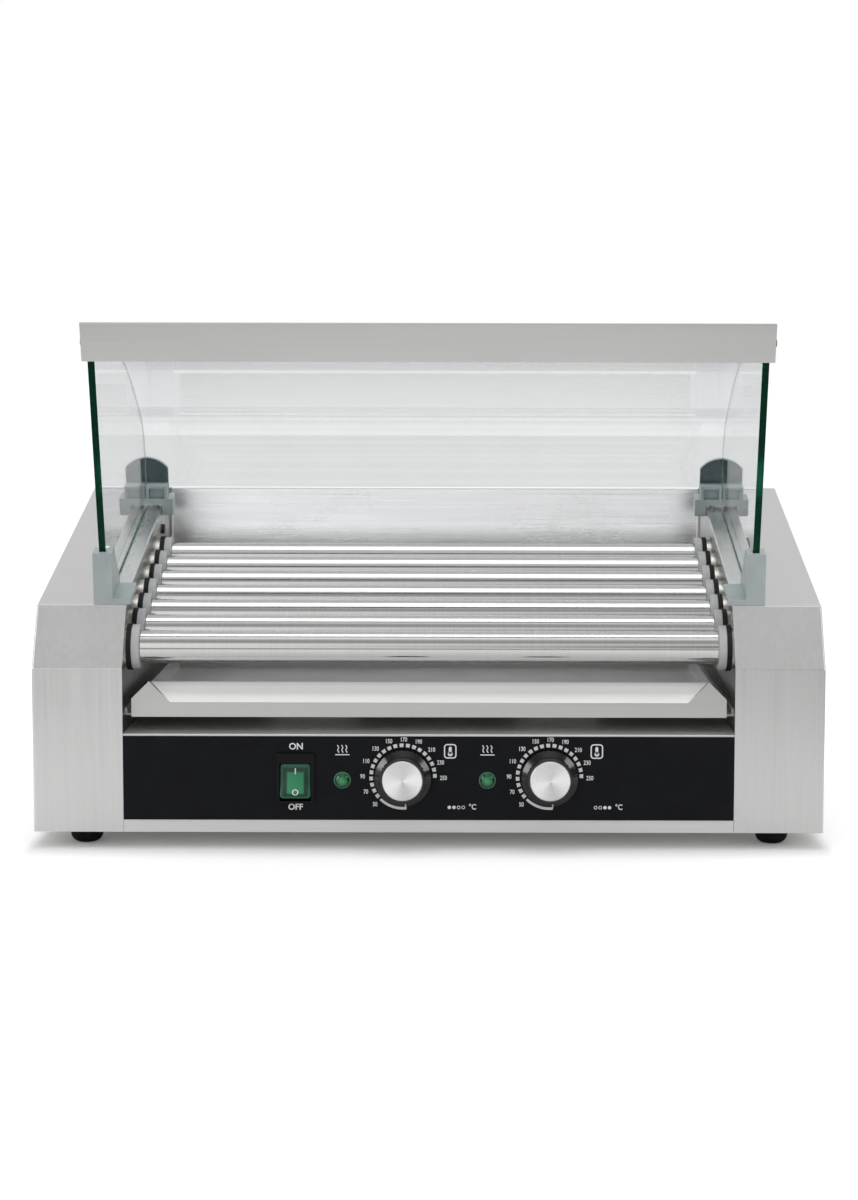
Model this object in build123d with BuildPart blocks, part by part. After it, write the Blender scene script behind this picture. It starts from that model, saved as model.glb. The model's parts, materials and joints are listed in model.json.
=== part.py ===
from build123d import *
from math import cos, pi, radians, sin, sqrt, tan
import os

os.makedirs("parts", exist_ok=True)

# Body: millimetres, degrees, X to the right, Y to the back, Z up from the floor
overall_width = 580.0
body_depth = 321.0
foot_height = 12.0
end_width = 66.0  # width of each end housing
front_height = 121.0  # upright part of a housing's front
brow_run = 27.0  # sloping part above it
brow_rise = 44.0
deck_slope = 13.8
sheet = 1.0  # stainless sheet
plate = 1.5  # thicker sheet that carries the rollers
housing_fold = 1.6  # outer radius of the housings' folds
small_fold = 0.9  # outer radius of the other folds
seat_gap = 0.3  # between pieces that part or slide
pan_lip = 12.0

# Rails that carry the hood, on top of the side plates
plate_inset = 2.0  # side plate's inner face, behind the housing's inner edge
rail_width = 22.0
rail_skirt = 8.0  # folded edges at the seam between rail and housing
ledge_width = 13.0
rail_front = 3.0  # behind the top of the brow
rail_end_gap = 1.0

# Rollers
roller_count = 7
roller_pitch = 35.0
roller_diameter = 24.0
roller_wall = 1.2
roller_drop = 30.9  # centres below the deck
first_roller = -5.5  # centre along the deck from the top of the brow
run_gap = 0.05  # radial clearance in the bushes
ring_gap = 0.4  # radial clearance in seals and end rings
bush_wall = 2.4
bush_flange = 3.0
bush_flange_radius = 15.6
bush_tail = 4.0
seal_radius = 17.2
seal_thickness = 3.8
ring_radius = 16.5
ring_thickness = 5.6
roller_tail = 28.0  # past the side plate at the driven end
roller_stub = 9.0  # past the side plate at the heater end
heater_radius = 4.5
heater_tail = 34.0
heater_short = 20.0
bracket_stand = 22.0  # heater bracket from the side plate

# Chain drive in the right housing
tooth_count = 14
chain_pitch = 6.35
tooth_root = 1.4
tooth_tip = 1.0
sprocket_width = 2.6
sprocket_gap = 7.2  # from the side plate to the roller sprockets
drive_gap = 20.6  # from the side plate to the drive sprockets
chain_side = 1.3
chain_band = 1.0
chain_lap = 0.4
motor_radius = 25.0
motor_length = 14.0
motor_drop = 76.0
motor_shaft = 4.0
motor_boss = 4.0
motor_boss_rise = 2.0
motor_ear = 6.0
hub_wall = 3.0
hub_reach = 3.0
shaft_end = 2.0

# Front panel
panel_height = 72.7  # from the lower edge of the body
panel_flange = 40.0
overlay_thickness = 0.8
overlay_low = 9.3
overlay_high = 71.2
dial_height = 41.4
front_dial_x = -18.8
back_dial_x = 88.5
front_lamp_x = -63.2
back_lamp_x = 43.0
lamp_height = 39.1
switch_x = -97.6
switch_height = 40.6

# Controls
knob_radius = 20.6
knob_grip = 16.6
knob_skirt = 8.5
knob_shoulder = 11.5
knob_length = 19.0
knob_stand = 0.8
knob_edge = 0.8
knob_wall = 6.0
cap_radius = 14.6
cap_sink = 1.0
cap_rise = 1.2
cap_edge = 0.6
spindle_radius = 3.0
spindle_depth = 10.0
neck_radius = 5.0
neck_length = 4.0
thermostat_radius = 17.5
thermostat_length = 32.0
lamp_radius = 6.2
lamp_flange = 1.5
lamp_dome = 5.0
lamp_round = 3.0
lamp_body = 4.6
lamp_tail = 22.0
bezel_width = 28.0
bezel_tall = 36.6
bezel_thickness = 3.0
bezel_round = 2.0
rocker_width = 22.4
rocker_tall = 25.4
rocker_drop = 3.0  # below the middle of the frame
rocker_tilt = 10.0
rocker_rise = 5.4
rocker_dish = 1.8
rocker_sink = 2.4
rocker_pin = 1.5
rocker_back = 2.5
rocker_toe = 0.6
rocker_room = 8.0
switch_wall = 1.2
switch_depth = 26.0

# Terminal block
terminal_length = 60.0
terminal_depth = 22.0
terminal_height = 18.0
terminal_back = 98.0  # forward of the back
terminal_count = 4
terminal_pitch = 14.0
terminal_hole = 4.0
terminal_hole_depth = 6.0

# Drip tray
tray_sheet = 0.8
tray_setback = 12.0
tray_side_gap = 7.0
tray_low = 83.6  # underside above the lower edge of the body
tray_shoulder = 13.4
tray_ear = 26.3
tray_ear_corner = 13.0
tray_notch = 15.4
tray_ramp = 13.5
tray_wall = 13.0
tray_wall_inset = 2.0
tray_back_gap = 20.0
runner_width = 16.0
runner_rise = 4.0
runner_sheet = 1.2
runner_setback = 20.0

# Back panel
back_drop = 0.8  # below the housings' rear edge
back_hem = 8.0
back_lip = 4.0
slot_count = 8
slot_width = 4.0
slot_tall = 26.0
slot_pitch = 9.0
slot_height = 40.0
slot_centre = 105.0
gland_from_end = 59.0  # inwards from the left housing's inner edge
gland_height = 30.0
gland_radius = 10.0
gland_bore = 4.5
gland_reach = 14.0
gland_inside = 9.0
gland_neck = 7.5

# Glass hood, measured along the deck and square to it
pane_offset = 15.0  # middle of a side pane, outwards from the side plate's inner face
pane_thickness = 5.0
back_pane_thickness = 4.0
hood_front = 12.0
hood_lean = 4.1
hood_setback = 46.0  # back of the glass, forward of the rail's rear end
rear_bend_start = 40.0
rear_bend_radius = 60.0
crown_radius = 478.0
back_pane_edge = 16.0
pane_step = 9.0
pane_step_gap = 2.0
bar_overhang = 4.0  # past the outer faces of the side panes
bar_drop = 29.0
bar_depth = 32.0
bar_gap = 0.5
bar_screw_radius = 2.6
bar_screw_head = 1.6
bar_screw_shank = 1.5

# Brackets that hold the glass
post_width = 14.0
post_front = 0.5
post_rake = 4.5
post_height = 38.0
post_top = 15.0
post_length = 42.0
post_toe = 6.0
post_floor = 2.0
foot_plate = 13.0
foot_plate_thickness = 4.0
foot_plate_length = 38.0
saddle_reach = 13.0  # saddle's front, forward of the back of the glass
saddle_inner = 9.2  # hook past the rail's inner edge
saddle_low = 3.0
saddle_thickness = 5.0
saddle_hook = 6.0
saddle_pad = 4.0
cheek_height = 11.0
pocket_wall = 2.2  # round the pocket in the inner cheek
pocket_depth = 5.0
tab_width = 36.0
tab_height = 37.0
tab_crown = 9.0
tab_thickness = 4.2

# Feet and screws
foot_radius = 12.0
foot_round = 7.0
foot_inset_x = 35.0
foot_inset_y = 28.0
screw_head = 4.0
screw_head_height = 2.4
screw_shank = 2.0
screw_length = 6.0
deck_screw_back = 60.0  # forward of the rail's rear end
deck_screw_drop = 17.7

# Levels and planes that the pieces share
slope = radians(deck_slope)
lean = tan(radians(hood_lean))
half_width = overall_width / 2
inner_edge = half_width - end_width
bay_half = inner_edge + plate_inset
plate_out = bay_half + plate
rail_out = bay_half + rail_width
brow_z = foot_height + front_height
brow_top = brow_z + brow_rise
floor_top = foot_height + sheet
panel_top = foot_height + panel_height

rail_rear = (body_depth - brow_run - 2 * sheet - 2 * seat_gap) / cos(slope) - rail_end_gap
hood_rear = rail_rear - hood_setback
saddle_front = hood_rear - saddle_reach
deck_screw_u = rail_rear - deck_screw_back
pane_x = bay_half + pane_offset
pane_out = pane_x + pane_thickness / 2
bar_half = pane_out + bar_overhang
gland_x = gland_from_end - inner_edge

bend_u = hood_rear - rear_bend_radius
bend_n = rear_bend_start
crown_u = bend_u - (crown_radius - rear_bend_radius) * cos(pi / 4)
crown_n = bend_n - (crown_radius - rear_bend_radius) * sin(pi / 4)


def front_line(start, n):
    """Point at n on a line that leans like the hood's front edge."""
    return (start - n * lean, n)


def crown_meet(start, radius):
    """Where such a line meets the crown arc of the given radius."""
    a = start - crown_u
    b = a * lean + crown_n
    c = 1 + lean**2
    n = (b + sqrt(b**2 - c * (a**2 + crown_n**2 - radius**2))) / c
    return front_line(start, n)


def bend_point(inset, angle):
    """Point on the rear bend, inset from its outer face."""
    reach = rear_bend_radius - inset
    return (bend_u + reach * cos(radians(angle)), bend_n + reach * sin(radians(angle)))


def crown_point(radius, start):
    """Point on the crown arc halfway between the bend and the front."""
    tip = crown_meet(start, radius)
    u = (tip[0] + crown_u + radius * cos(pi / 4)) / 2
    return (u, crown_n + sqrt(radius**2 - (u - crown_u) ** 2))


bar_line = hood_front - (bar_gap + sheet) * sqrt(1 + lean**2)
bar_inner_line = hood_front - bar_gap * sqrt(1 + lean**2)
bar_end_line = bar_line + bar_depth
bar_radius = crown_radius + bar_gap + sheet
bar_corner = crown_meet(bar_line, bar_radius)
bar_low = bar_corner[1] - bar_drop
bar_fold = crown_meet(bar_line + small_fold * sqrt(1 + lean**2), bar_radius - small_fold)
hood_reach = bar_fold[1] * sin(slope) - bar_fold[0] * cos(slope) - brow_run + small_fold
front_y = (hood_reach - body_depth - gland_reach) / 2
back_y = front_y + body_depth
panel_front = front_y - overlay_thickness

deck = Plane(
    origin=(0, front_y + brow_run, brow_top),
    x_dir=(1, 0, 0),
    z_dir=(0, -sin(slope), cos(slope)),
)
deck_side = Plane(
    origin=deck.origin, x_dir=(0, cos(slope), sin(slope)), z_dir=(1, 0, 0)
)


def deck_at(u, n):
    """Y and Z of a point u along the deck and n above it."""
    y = front_y + brow_run + u * cos(slope) - n * sin(slope)
    z = brow_top + u * sin(slope) + n * cos(slope)
    return (y, z)


rear_top = brow_top + (body_depth - brow_run) * tan(slope)
roller_u = [first_roller + i * roller_pitch for i in range(roller_count)]
roller_at = [deck_at(u, -roller_drop) for u in roller_u]
drive_roller = roller_count // 2
motor_at = (roller_at[drive_roller][0], roller_at[drive_roller][1] - motor_drop)
tooth_radius = chain_pitch / 2 / sin(pi / tooth_count)
root_radius = tooth_radius - tooth_root
tip_radius = tooth_radius + tooth_tip


def block(x, y, z, mode=Mode.ADD):
    """Box between the pairs x, y and z."""
    middle = ((x[0] + x[1]) / 2, (y[0] + y[1]) / 2, (z[0] + z[1]) / 2)
    with Locations(middle):
        Box(abs(x[1] - x[0]), abs(y[1] - y[0]), abs(z[1] - z[0]), mode=mode)


def deck_block(x, u, n, mode=Mode.ADD):
    """Box between the pairs x, u and n, in line with the deck."""
    middle = Pos((x[0] + x[1]) / 2, (u[0] + u[1]) / 2, (n[0] + n[1]) / 2)
    with Locations(deck.location * middle):
        Box(abs(x[1] - x[0]), abs(u[1] - u[0]), abs(n[1] - n[0]), mode=mode)


def rod_x(radius, x, at, mode=Mode.ADD):
    """Round bar along X between the pair x, at a point in Y and Z."""
    with Locations(((x[0] + x[1]) / 2, at[0], at[1])):
        Cylinder(radius, abs(x[1] - x[0]), rotation=(0, 90, 0), mode=mode)


def rod_y(radius, y, x, z, mode=Mode.ADD):
    """Round bar along Y between the pair y, at a point in X and Z."""
    with Locations((x, (y[0] + y[1]) / 2, z)):
        Cylinder(radius, abs(y[1] - y[0]), rotation=(90, 0, 0), mode=mode)


def keep(builder, name):
    """Name a finished piece and write it."""
    builder.part.label = name
    export_step(builder.part, f"parts/{name}.step")


# End housings: folded covers, open below and on the inner side
end_outline = [
    (front_y, foot_height),
    (front_y, brow_z),
    (front_y + brow_run, brow_top),
    (back_y, rear_top),
    (back_y, foot_height),
]
seam_out = rail_out + seat_gap
with BuildPart() as right_housing:
    with BuildSketch(Plane.YZ.offset(inner_edge)):
        with BuildLine():
            Polyline(*end_outline, close=True)
        make_face()
    extrude(amount=end_width)
    outer_side = right_housing.faces().sort_by(Axis.X)[-1]
    folds = right_housing.edges().filter_by(Axis.X) + outer_side.edges()
    fillet(folds.filter_by(lambda edge: edge.center().Z > foot_height + sheet), housing_fold)
    open_sides = [
        right_housing.faces().sort_by(Axis.X)[0],
        right_housing.faces().sort_by(Axis.Z)[0],
    ]
    offset(amount=-sheet, openings=open_sides)
    deck_block((inner_edge, seam_out), (rail_front - seat_gap, rail_rear + seat_gap),
               (-2 * sheet, 2 * sheet), mode=Mode.SUBTRACT)
    deck_block((seam_out, seam_out + sheet), (rail_front, rail_rear), (-rail_skirt, -sheet / 2))
    rod_y(screw_shank, (back_y - 2 * sheet, back_y + sheet), inner_edge + end_width / 2,
          foot_height + pan_lip / 2, mode=Mode.SUBTRACT)
keep(right_housing, "right_housing")

with BuildPart() as left_housing:
    mirror(right_housing.part, about=Plane.YZ)
keep(left_housing, "left_housing")

# Base pan: floor of the whole body, with a lip behind the outer sheets
pan_half = half_width - sheet - seat_gap
pan_front = front_y + sheet + seat_gap
pan_back = back_y - sheet - seat_gap
with BuildPart() as base_pan:
    block((-pan_half, pan_half), (pan_front, pan_back), (foot_height, foot_height + pan_lip))
    block((-pan_half + sheet, pan_half - sheet), (pan_front + sheet, pan_back - sheet),
          (floor_top, foot_height + 2 * pan_lip), mode=Mode.SUBTRACT)
    for side in (-1, 1):
        rod_y(screw_shank, (pan_back - 2 * sheet, pan_back + sheet),
              side * (inner_edge + end_width / 2), foot_height + pan_lip / 2, mode=Mode.SUBTRACT)
keep(base_pan, "base_pan")

# Side plates: each carries the rollers and is folded out at the top into a rail
side_edge = 2 * sheet + 2 * seat_gap
hole_radius = roller_diameter / 2 + run_gap + bush_wall
brow_length = sqrt(brow_run**2 + brow_rise**2)
brow_lift = side_edge * (brow_length - brow_run) / brow_rise
with BuildPart() as right_side_plate:
    with BuildSketch(Plane.YZ.offset(bay_half)):
        with BuildLine():
            Polyline(
                (front_y + side_edge, floor_top),
                (front_y + side_edge, brow_z - brow_lift),
                deck_at(rail_front, -2 * sheet),
                deck_at(rail_front, 0),
                deck_at(rail_rear, 0),
                (back_y - side_edge, deck_at(rail_rear, -rail_skirt)[1]),
                (back_y - side_edge, floor_top),
                close=True,
            )
        make_face()
    extrude(amount=plate)
    deck_block((bay_half, rail_out), (rail_front, rail_rear), (-sheet, 0))
    deck_block((rail_out - sheet, rail_out), (rail_front, rail_rear), (-rail_skirt - sheet, 0))
    deck_block((rail_out - sheet, rail_out + ledge_width), (rail_front + 2 * sheet, rail_rear),
               (-rail_skirt - sheet, -rail_skirt))
    fold_at = deck_at((rail_front + rail_rear) / 2, 0)
    plate_edges = right_side_plate.edges()
    rail_folds = [plate_edges.sort_by_distance((x, *fold_at))[0] for x in (bay_half, rail_out)]
    fillet(rail_folds, small_fold)
    for at in roller_at:
        rod_x(hole_radius, (bay_half - plate, plate_out + plate), at, mode=Mode.SUBTRACT)
keep(right_side_plate, "right_side_plate")

deck_screw_at = deck_at(deck_screw_u, -deck_screw_drop)
with BuildPart() as left_side_plate:
    mirror(right_side_plate.part, about=Plane.YZ)
    rod_x(screw_shank, (-bay_half + plate, -plate_out - plate), deck_screw_at, mode=Mode.SUBTRACT)
keep(left_side_plate, "left_side_plate")

# Front panel: stainless sheet folded back over the electrics, cut for the controls
panel_half = inner_edge - seat_gap
dial_z = foot_height + dial_height
lamp_z = foot_height + lamp_height
switch_z = foot_height + switch_height
rocker_z = switch_z - rocker_drop
box_half_x = rocker_width / 2 + seat_gap + switch_wall
box_half_z = rocker_tall / 2 + rocker_rise * sin(radians(rocker_tilt)) + seat_gap + switch_wall
with BuildPart() as front_panel:
    block((-panel_half, panel_half), (front_y, front_y + sheet), (foot_height, panel_top))
    block((-panel_half, panel_half), (front_y, front_y + panel_flange), (panel_top - sheet, panel_top))
    fillet(front_panel.edges().sort_by_distance((0, front_y, panel_top))[0], small_fold)
    cut = (front_y - sheet, front_y + 2 * sheet)
    for x in (front_dial_x, back_dial_x):
        rod_y(neck_radius + seat_gap, cut, x, dial_z, mode=Mode.SUBTRACT)
    for x in (front_lamp_x, back_lamp_x):
        rod_y(lamp_body + seat_gap, cut, x, lamp_z, mode=Mode.SUBTRACT)
    block((switch_x - box_half_x - seat_gap, switch_x + box_half_x + seat_gap), cut,
          (rocker_z - box_half_z - seat_gap, rocker_z + box_half_z + seat_gap), mode=Mode.SUBTRACT)
keep(front_panel, "front_panel")

# Control overlay: thin black sheet on the front panel
with BuildPart() as control_overlay:
    block((-panel_half, panel_half), (panel_front, front_y),
          (foot_height + overlay_low, foot_height + overlay_high))
    cut = (panel_front - sheet, front_y + sheet)
    for x in (front_dial_x, back_dial_x):
        rod_y(neck_radius + seat_gap, cut, x, dial_z, mode=Mode.SUBTRACT)
    for x in (front_lamp_x, back_lamp_x):
        rod_y(lamp_body + seat_gap, cut, x, lamp_z, mode=Mode.SUBTRACT)
    block((switch_x - box_half_x - seat_gap, switch_x + box_half_x + seat_gap), cut,
          (rocker_z - box_half_z - seat_gap, rocker_z + box_half_z + seat_gap), mode=Mode.SUBTRACT)
keep(control_overlay, "control_overlay")

# Shield: sheet over the electrics, under the tray
with BuildPart() as shield:
    block((-bay_half + seat_gap, bay_half - seat_gap), (pan_front, back_y - sheet - seat_gap),
          (panel_top - 2 * sheet, panel_top - sheet))
keep(shield, "shield")

# Back panel: vented sheet as high as the housings, with a hem folded forward at the top
back_top = rear_top - back_drop
hem_front = back_y - back_hem
with BuildPart() as back_panel:
    block((-panel_half, panel_half), (back_y - sheet, back_y), (foot_height, back_top))
    block((-panel_half, panel_half), (hem_front, back_y), (back_top - sheet, back_top))
    block((-panel_half, panel_half), (hem_front, hem_front + sheet), (back_top - back_lip, back_top))
    hem_folds = [back_panel.edges().sort_by_distance((0, y, back_top))[0] for y in (hem_front, back_y)]
    fillet(hem_folds, small_fold)
    for side in (-1, 1):
        for i in range(slot_count):
            x = side * slot_centre + (i - (slot_count - 1) / 2) * slot_pitch
            with Locations((x, back_y - sheet / 2, foot_height + panel_height / 2 + slot_height)):
                Box(slot_width, 4 * sheet, slot_tall, mode=Mode.SUBTRACT)
    rod_y(gland_neck, (back_y - 2 * sheet, back_y + sheet), gland_x, foot_height + gland_height,
          mode=Mode.SUBTRACT)
keep(back_panel, "back_panel")

# Cable gland: a hexagon outside, a threaded neck and a nut inside
gland_z = foot_height + gland_height
with BuildPart() as cable_gland:
    with BuildSketch(Plane.XZ.offset(-back_y)):
        with Locations((gland_x, gland_z)):
            RegularPolygon(gland_radius, 6)
    extrude(amount=-gland_reach * 0.6)
    rod_y(gland_neck, (back_y - sheet - gland_inside, back_y + gland_reach), gland_x, gland_z)
    with BuildSketch(Plane.XZ.offset(-back_y + sheet)):
        with Locations((gland_x, gland_z)):
            RegularPolygon(gland_radius, 6)
    extrude(amount=gland_inside / 2)
    rod_y(gland_bore, (back_y - 2 * gland_inside, back_y + 2 * gland_reach), gland_x, gland_z,
          mode=Mode.SUBTRACT)
keep(cable_gland, "cable_gland")

# Roller bearings: flanged bushes in the side plates, dark seals, pale end rings
bush_bore = roller_diameter / 2 + run_gap
ring_bore = roller_diameter / 2 + ring_gap
seal_start = bay_half - bush_flange
ring_start = seal_start - seal_thickness
ring_end = ring_start - ring_thickness
with BuildPart() as roller_bushes:
    for side in (-1, 1):
        for at in roller_at:
            rod_x(bush_flange_radius, (side * seal_start, side * bay_half), at)
            rod_x(hole_radius, (side * bay_half, side * (plate_out + bush_tail)), at)
    for side in (-1, 1):
        for at in roller_at:
            rod_x(bush_bore, (side * (seal_start - sheet), side * (plate_out + 2 * bush_tail)), at,
                  mode=Mode.SUBTRACT)
keep(roller_bushes, "roller_bushes")

with BuildPart() as roller_seals:
    for side in (-1, 1):
        for at in roller_at:
            rod_x(seal_radius, (side * ring_start, side * seal_start), at)
    for side in (-1, 1):
        for at in roller_at:
            rod_x(ring_bore, (side * (ring_start - sheet), side * (seal_start + sheet)), at,
                  mode=Mode.SUBTRACT)
keep(roller_seals, "roller_seals")

with BuildPart() as end_rings:
    for side in (-1, 1):
        for at in roller_at:
            rod_x(ring_radius, (side * ring_end, side * ring_start), at)
    for side in (-1, 1):
        for at in roller_at:
            rod_x(ring_bore, (side * (ring_end - sheet), side * (ring_start + sheet)), at, mode=Mode.SUBTRACT)
keep(end_rings, "end_rings")

# Rollers: plain tubes through both side plates
for index, at in enumerate(roller_at):
    with BuildPart() as roller:
        rod_x(roller_diameter / 2, (-plate_out - roller_stub, plate_out + roller_tail), at)
        rod_x(roller_diameter / 2 - roller_wall, (-half_width, half_width), at, mode=Mode.SUBTRACT)
    keep(roller, f"roller_{index + 1}")

# Heating rods: one standing still in each roller, held in the left housing
with BuildPart() as heating_rods:
    for at in roller_at:
        rod_x(heater_radius, (-plate_out - heater_tail, bay_half - heater_short), at)
keep(heating_rods, "heating_rods")

rod_plate = plate_out + bracket_stand
with BuildPart() as heater_bracket:
    with BuildSketch(Plane.YZ.offset(-rod_plate)):
        with BuildLine():
            Polyline(
                (roller_at[0][0], floor_top),
                deck_at(roller_u[0] - roller_pitch / 3, -roller_drop + roller_pitch / 3),
                deck_at(roller_u[-1] + roller_pitch / 3, -roller_drop + roller_pitch / 3),
                (roller_at[-1][0], floor_top),
                close=True,
            )
        make_face()
    extrude(amount=-plate)
    for at in roller_at:
        rod_x(heater_radius, (-rod_plate + plate, -rod_plate - 2 * plate), at, mode=Mode.SUBTRACT)
keep(heater_bracket, "heater_bracket")

# Sprockets: fast on the right end of each roller, a second one on the driven roller
tooth_outline = []
for k in range(tooth_count):
    for turn, radius in ((-0.32, root_radius), (-0.1, tip_radius), (0.1, tip_radius), (0.32, root_radius)):
        angle = 2 * pi * (k + turn) / tooth_count
        tooth_outline.append((radius * cos(angle), radius * sin(angle)))
sprocket_x = plate_out + sprocket_gap
drive_x = plate_out + drive_gap
for index, at in enumerate(roller_at):
    starts = [sprocket_x, drive_x] if index == drive_roller else [sprocket_x]
    with BuildPart() as sprocket:
        for start in starts:
            with BuildSketch(Plane.YZ.offset(start)):
                with Locations(at):
                    Polygon(*tooth_outline, align=None)
            extrude(amount=sprocket_width)
        rod_x(roller_diameter / 2, (bay_half, half_width), at, mode=Mode.SUBTRACT)
    keep(sprocket, f"sprocket_{index + 1}")

with BuildPart() as motor_sprocket:
    with BuildSketch(Plane.YZ.offset(drive_x)):
        with Locations(motor_at):
            Polygon(*tooth_outline, align=None)
    extrude(amount=sprocket_width)
    rod_x(motor_shaft + hub_wall, (drive_x - sheet, drive_x + sprocket_width + hub_reach), motor_at)
    rod_x(motor_shaft, (plate_out + motor_length / 2, drive_x + sprocket_width + hub_reach + shaft_end),
          motor_at)
keep(motor_sprocket, "motor_sprocket")

# Chains: closed loops that straddle the sprocket teeth
chain_inner = root_radius - chain_lap
chain_groove = tip_radius + ring_gap
chain_outer = chain_groove + chain_band
with BuildPart() as roller_chain:
    span = roller_u[-1] - roller_u[0]
    chain_middle = ((roller_u[0] + roller_u[-1]) / 2, -roller_drop)
    with BuildSketch(deck_side.offset(sprocket_x - ring_gap - chain_side)):
        with Locations(chain_middle):
            SlotCenterToCenter(span, 2 * chain_outer)
            SlotCenterToCenter(span, 2 * chain_inner, mode=Mode.SUBTRACT)
    extrude(amount=sprocket_width + 2 * ring_gap + 2 * chain_side)
    with BuildSketch(deck_side.offset(sprocket_x - ring_gap)):
        with Locations(chain_middle):
            SlotCenterToCenter(span, 2 * chain_groove)
    extrude(amount=sprocket_width + 2 * ring_gap, mode=Mode.SUBTRACT)
keep(roller_chain, "roller_chain")

with BuildPart() as motor_chain:
    chain_middle = (motor_at[0], motor_at[1] + motor_drop / 2)
    with BuildSketch(Plane.YZ.offset(drive_x - ring_gap - chain_side)):
        with Locations(chain_middle):
            SlotCenterToCenter(motor_drop, 2 * chain_outer, rotation=90)
            SlotCenterToCenter(motor_drop, 2 * chain_inner, rotation=90, mode=Mode.SUBTRACT)
    extrude(amount=sprocket_width + 2 * ring_gap + 2 * chain_side)
    with BuildSketch(Plane.YZ.offset(drive_x - ring_gap)):
        with Locations(chain_middle):
            SlotCenterToCenter(motor_drop, 2 * chain_groove, rotation=90)
    extrude(amount=sprocket_width + 2 * ring_gap, mode=Mode.SUBTRACT)
keep(motor_chain, "motor_chain")

# Gear motor: on the outside of the right side plate, under the driven roller
with BuildPart() as gear_motor:
    rod_x(motor_radius, (plate_out, plate_out + motor_length), motor_at)
    rod_x(motor_shaft + motor_boss, (plate_out, plate_out + motor_length + motor_boss_rise), motor_at)
    rod_x(motor_shaft + run_gap, (plate_out + motor_length / 2 - sheet, half_width), motor_at,
          mode=Mode.SUBTRACT)
    for side in (-1, 1):
        y = motor_at[0] + side * motor_radius
        block((plate_out, plate_out + 2 * plate), (y - motor_ear, y + motor_ear),
              (motor_at[1] - motor_ear, motor_at[1] + motor_ear))
keep(gear_motor, "gear_motor")

# Thermostats: behind the front panel, each with a threaded neck through it
for name, x in (("front", front_dial_x), ("back", back_dial_x)):
    with BuildPart() as thermostat:
        rod_y(thermostat_radius, (front_y + sheet, front_y + sheet + thermostat_length), x, dial_z)
        rod_y(neck_radius, (panel_front - neck_length, front_y + sheet), x, dial_z)
        rod_y(spindle_radius + run_gap, (panel_front - 2 * neck_length, front_y + spindle_depth + sheet),
              x, dial_z, mode=Mode.SUBTRACT)
    keep(thermostat, f"{name}_thermostat")

    with BuildPart() as spindle:
        rod_y(spindle_radius, (panel_front - knob_length + knob_wall, front_y + spindle_depth), x, dial_z)
    keep(spindle, f"{name}_spindle")

    # Knobs: a wide skirt, a narrower grip and a metal cap let into the face
    with BuildPart() as knob:
        with BuildSketch(Plane.XY.offset(dial_z)):
            with BuildLine():
                Polyline(
                    (x, panel_front - knob_stand),
                    (x + knob_radius, panel_front - knob_stand),
                    (x + knob_radius, panel_front - knob_skirt),
                    (x + knob_grip, panel_front - knob_shoulder),
                    (x + knob_grip, panel_front - knob_length + knob_edge),
                    (x + knob_grip - knob_edge, panel_front - knob_length),
                    (x, panel_front - knob_length),
                    close=True,
                )
            make_face()
        revolve(axis=Axis((x, 0, dial_z), (0, 1, 0)))
        rod_y(cap_radius, (panel_front - knob_length - sheet, panel_front - knob_length + cap_sink),
              x, dial_z, mode=Mode.SUBTRACT)
        rod_y(spindle_radius, (panel_front - knob_length + knob_wall, front_y), x, dial_z, mode=Mode.SUBTRACT)
        rod_y(neck_radius + sheet, (panel_front - neck_length - sheet, front_y), x, dial_z,
              mode=Mode.SUBTRACT)
    keep(knob, f"{name}_knob")

    with BuildPart() as cap:
        rod_y(cap_radius, (panel_front - knob_length - cap_rise, panel_front - knob_length + cap_sink),
              x, dial_z)
        chamfer(cap.faces().sort_by(Axis.Y)[0].edges(), cap_edge)
    keep(cap, f"{name}_knob_cap")

# Pilot lamps: domed lenses with a flange on the overlay
for name, x in (("front", front_lamp_x), ("back", back_lamp_x)):
    with BuildPart() as lamp:
        rod_y(lamp_radius, (panel_front - lamp_flange, panel_front), x, lamp_z)
        rod_y(lamp_body, (panel_front - lamp_dome, panel_front + lamp_tail), x, lamp_z)
        fillet(lamp.faces().sort_by(Axis.Y)[0].edges(), lamp_round)
    keep(lamp, f"{name}_lamp")

# Power switch: framed box with a rocker on two pins
pivot = (panel_front + rocker_sink, rocker_z)
with BuildPart() as switch_box:
    block((switch_x - bezel_width / 2, switch_x + bezel_width / 2),
          (panel_front - bezel_thickness, panel_front),
          (switch_z - bezel_tall / 2, switch_z + bezel_tall / 2))
    fillet(switch_box.edges().filter_by(Axis.Y), bezel_round)
    block((switch_x - box_half_x, switch_x + box_half_x), (panel_front, panel_front + switch_depth),
          (rocker_z - box_half_z, rocker_z + box_half_z))
    block((switch_x - box_half_x + switch_wall, switch_x + box_half_x - switch_wall),
          (panel_front - 2 * bezel_thickness, panel_front + rocker_sink + rocker_room),
          (rocker_z - box_half_z + switch_wall, rocker_z + box_half_z - switch_wall),
          mode=Mode.SUBTRACT)
    pin_room = box_half_x - switch_wall / 4
    rod_x(rocker_pin + run_gap, (switch_x - pin_room, switch_x + pin_room), pivot, mode=Mode.SUBTRACT)
keep(switch_box, "switch_box")

with BuildPart() as switch_rocker:
    half = rocker_tall / 2
    with BuildSketch(Plane.YZ.offset(switch_x - rocker_width / 2)):
        with Locations(pivot):
            with Locations(Rotation(0, 0, -rocker_tilt)):
                Polygon(
                    (-rocker_rise, half),
                    (-rocker_rise + rocker_dish, 0),
                    (-rocker_rise, -half),
                    (0, -half + rocker_toe),
                    (rocker_pin + rocker_back, 0),
                    (0, half - rocker_toe),
                    align=None,
                )
    extrude(amount=rocker_width)
    pin_half = box_half_x - switch_wall / 2
    rod_x(rocker_pin, (switch_x - pin_half, switch_x + pin_half), pivot)
keep(switch_rocker, "switch_rocker")

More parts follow.
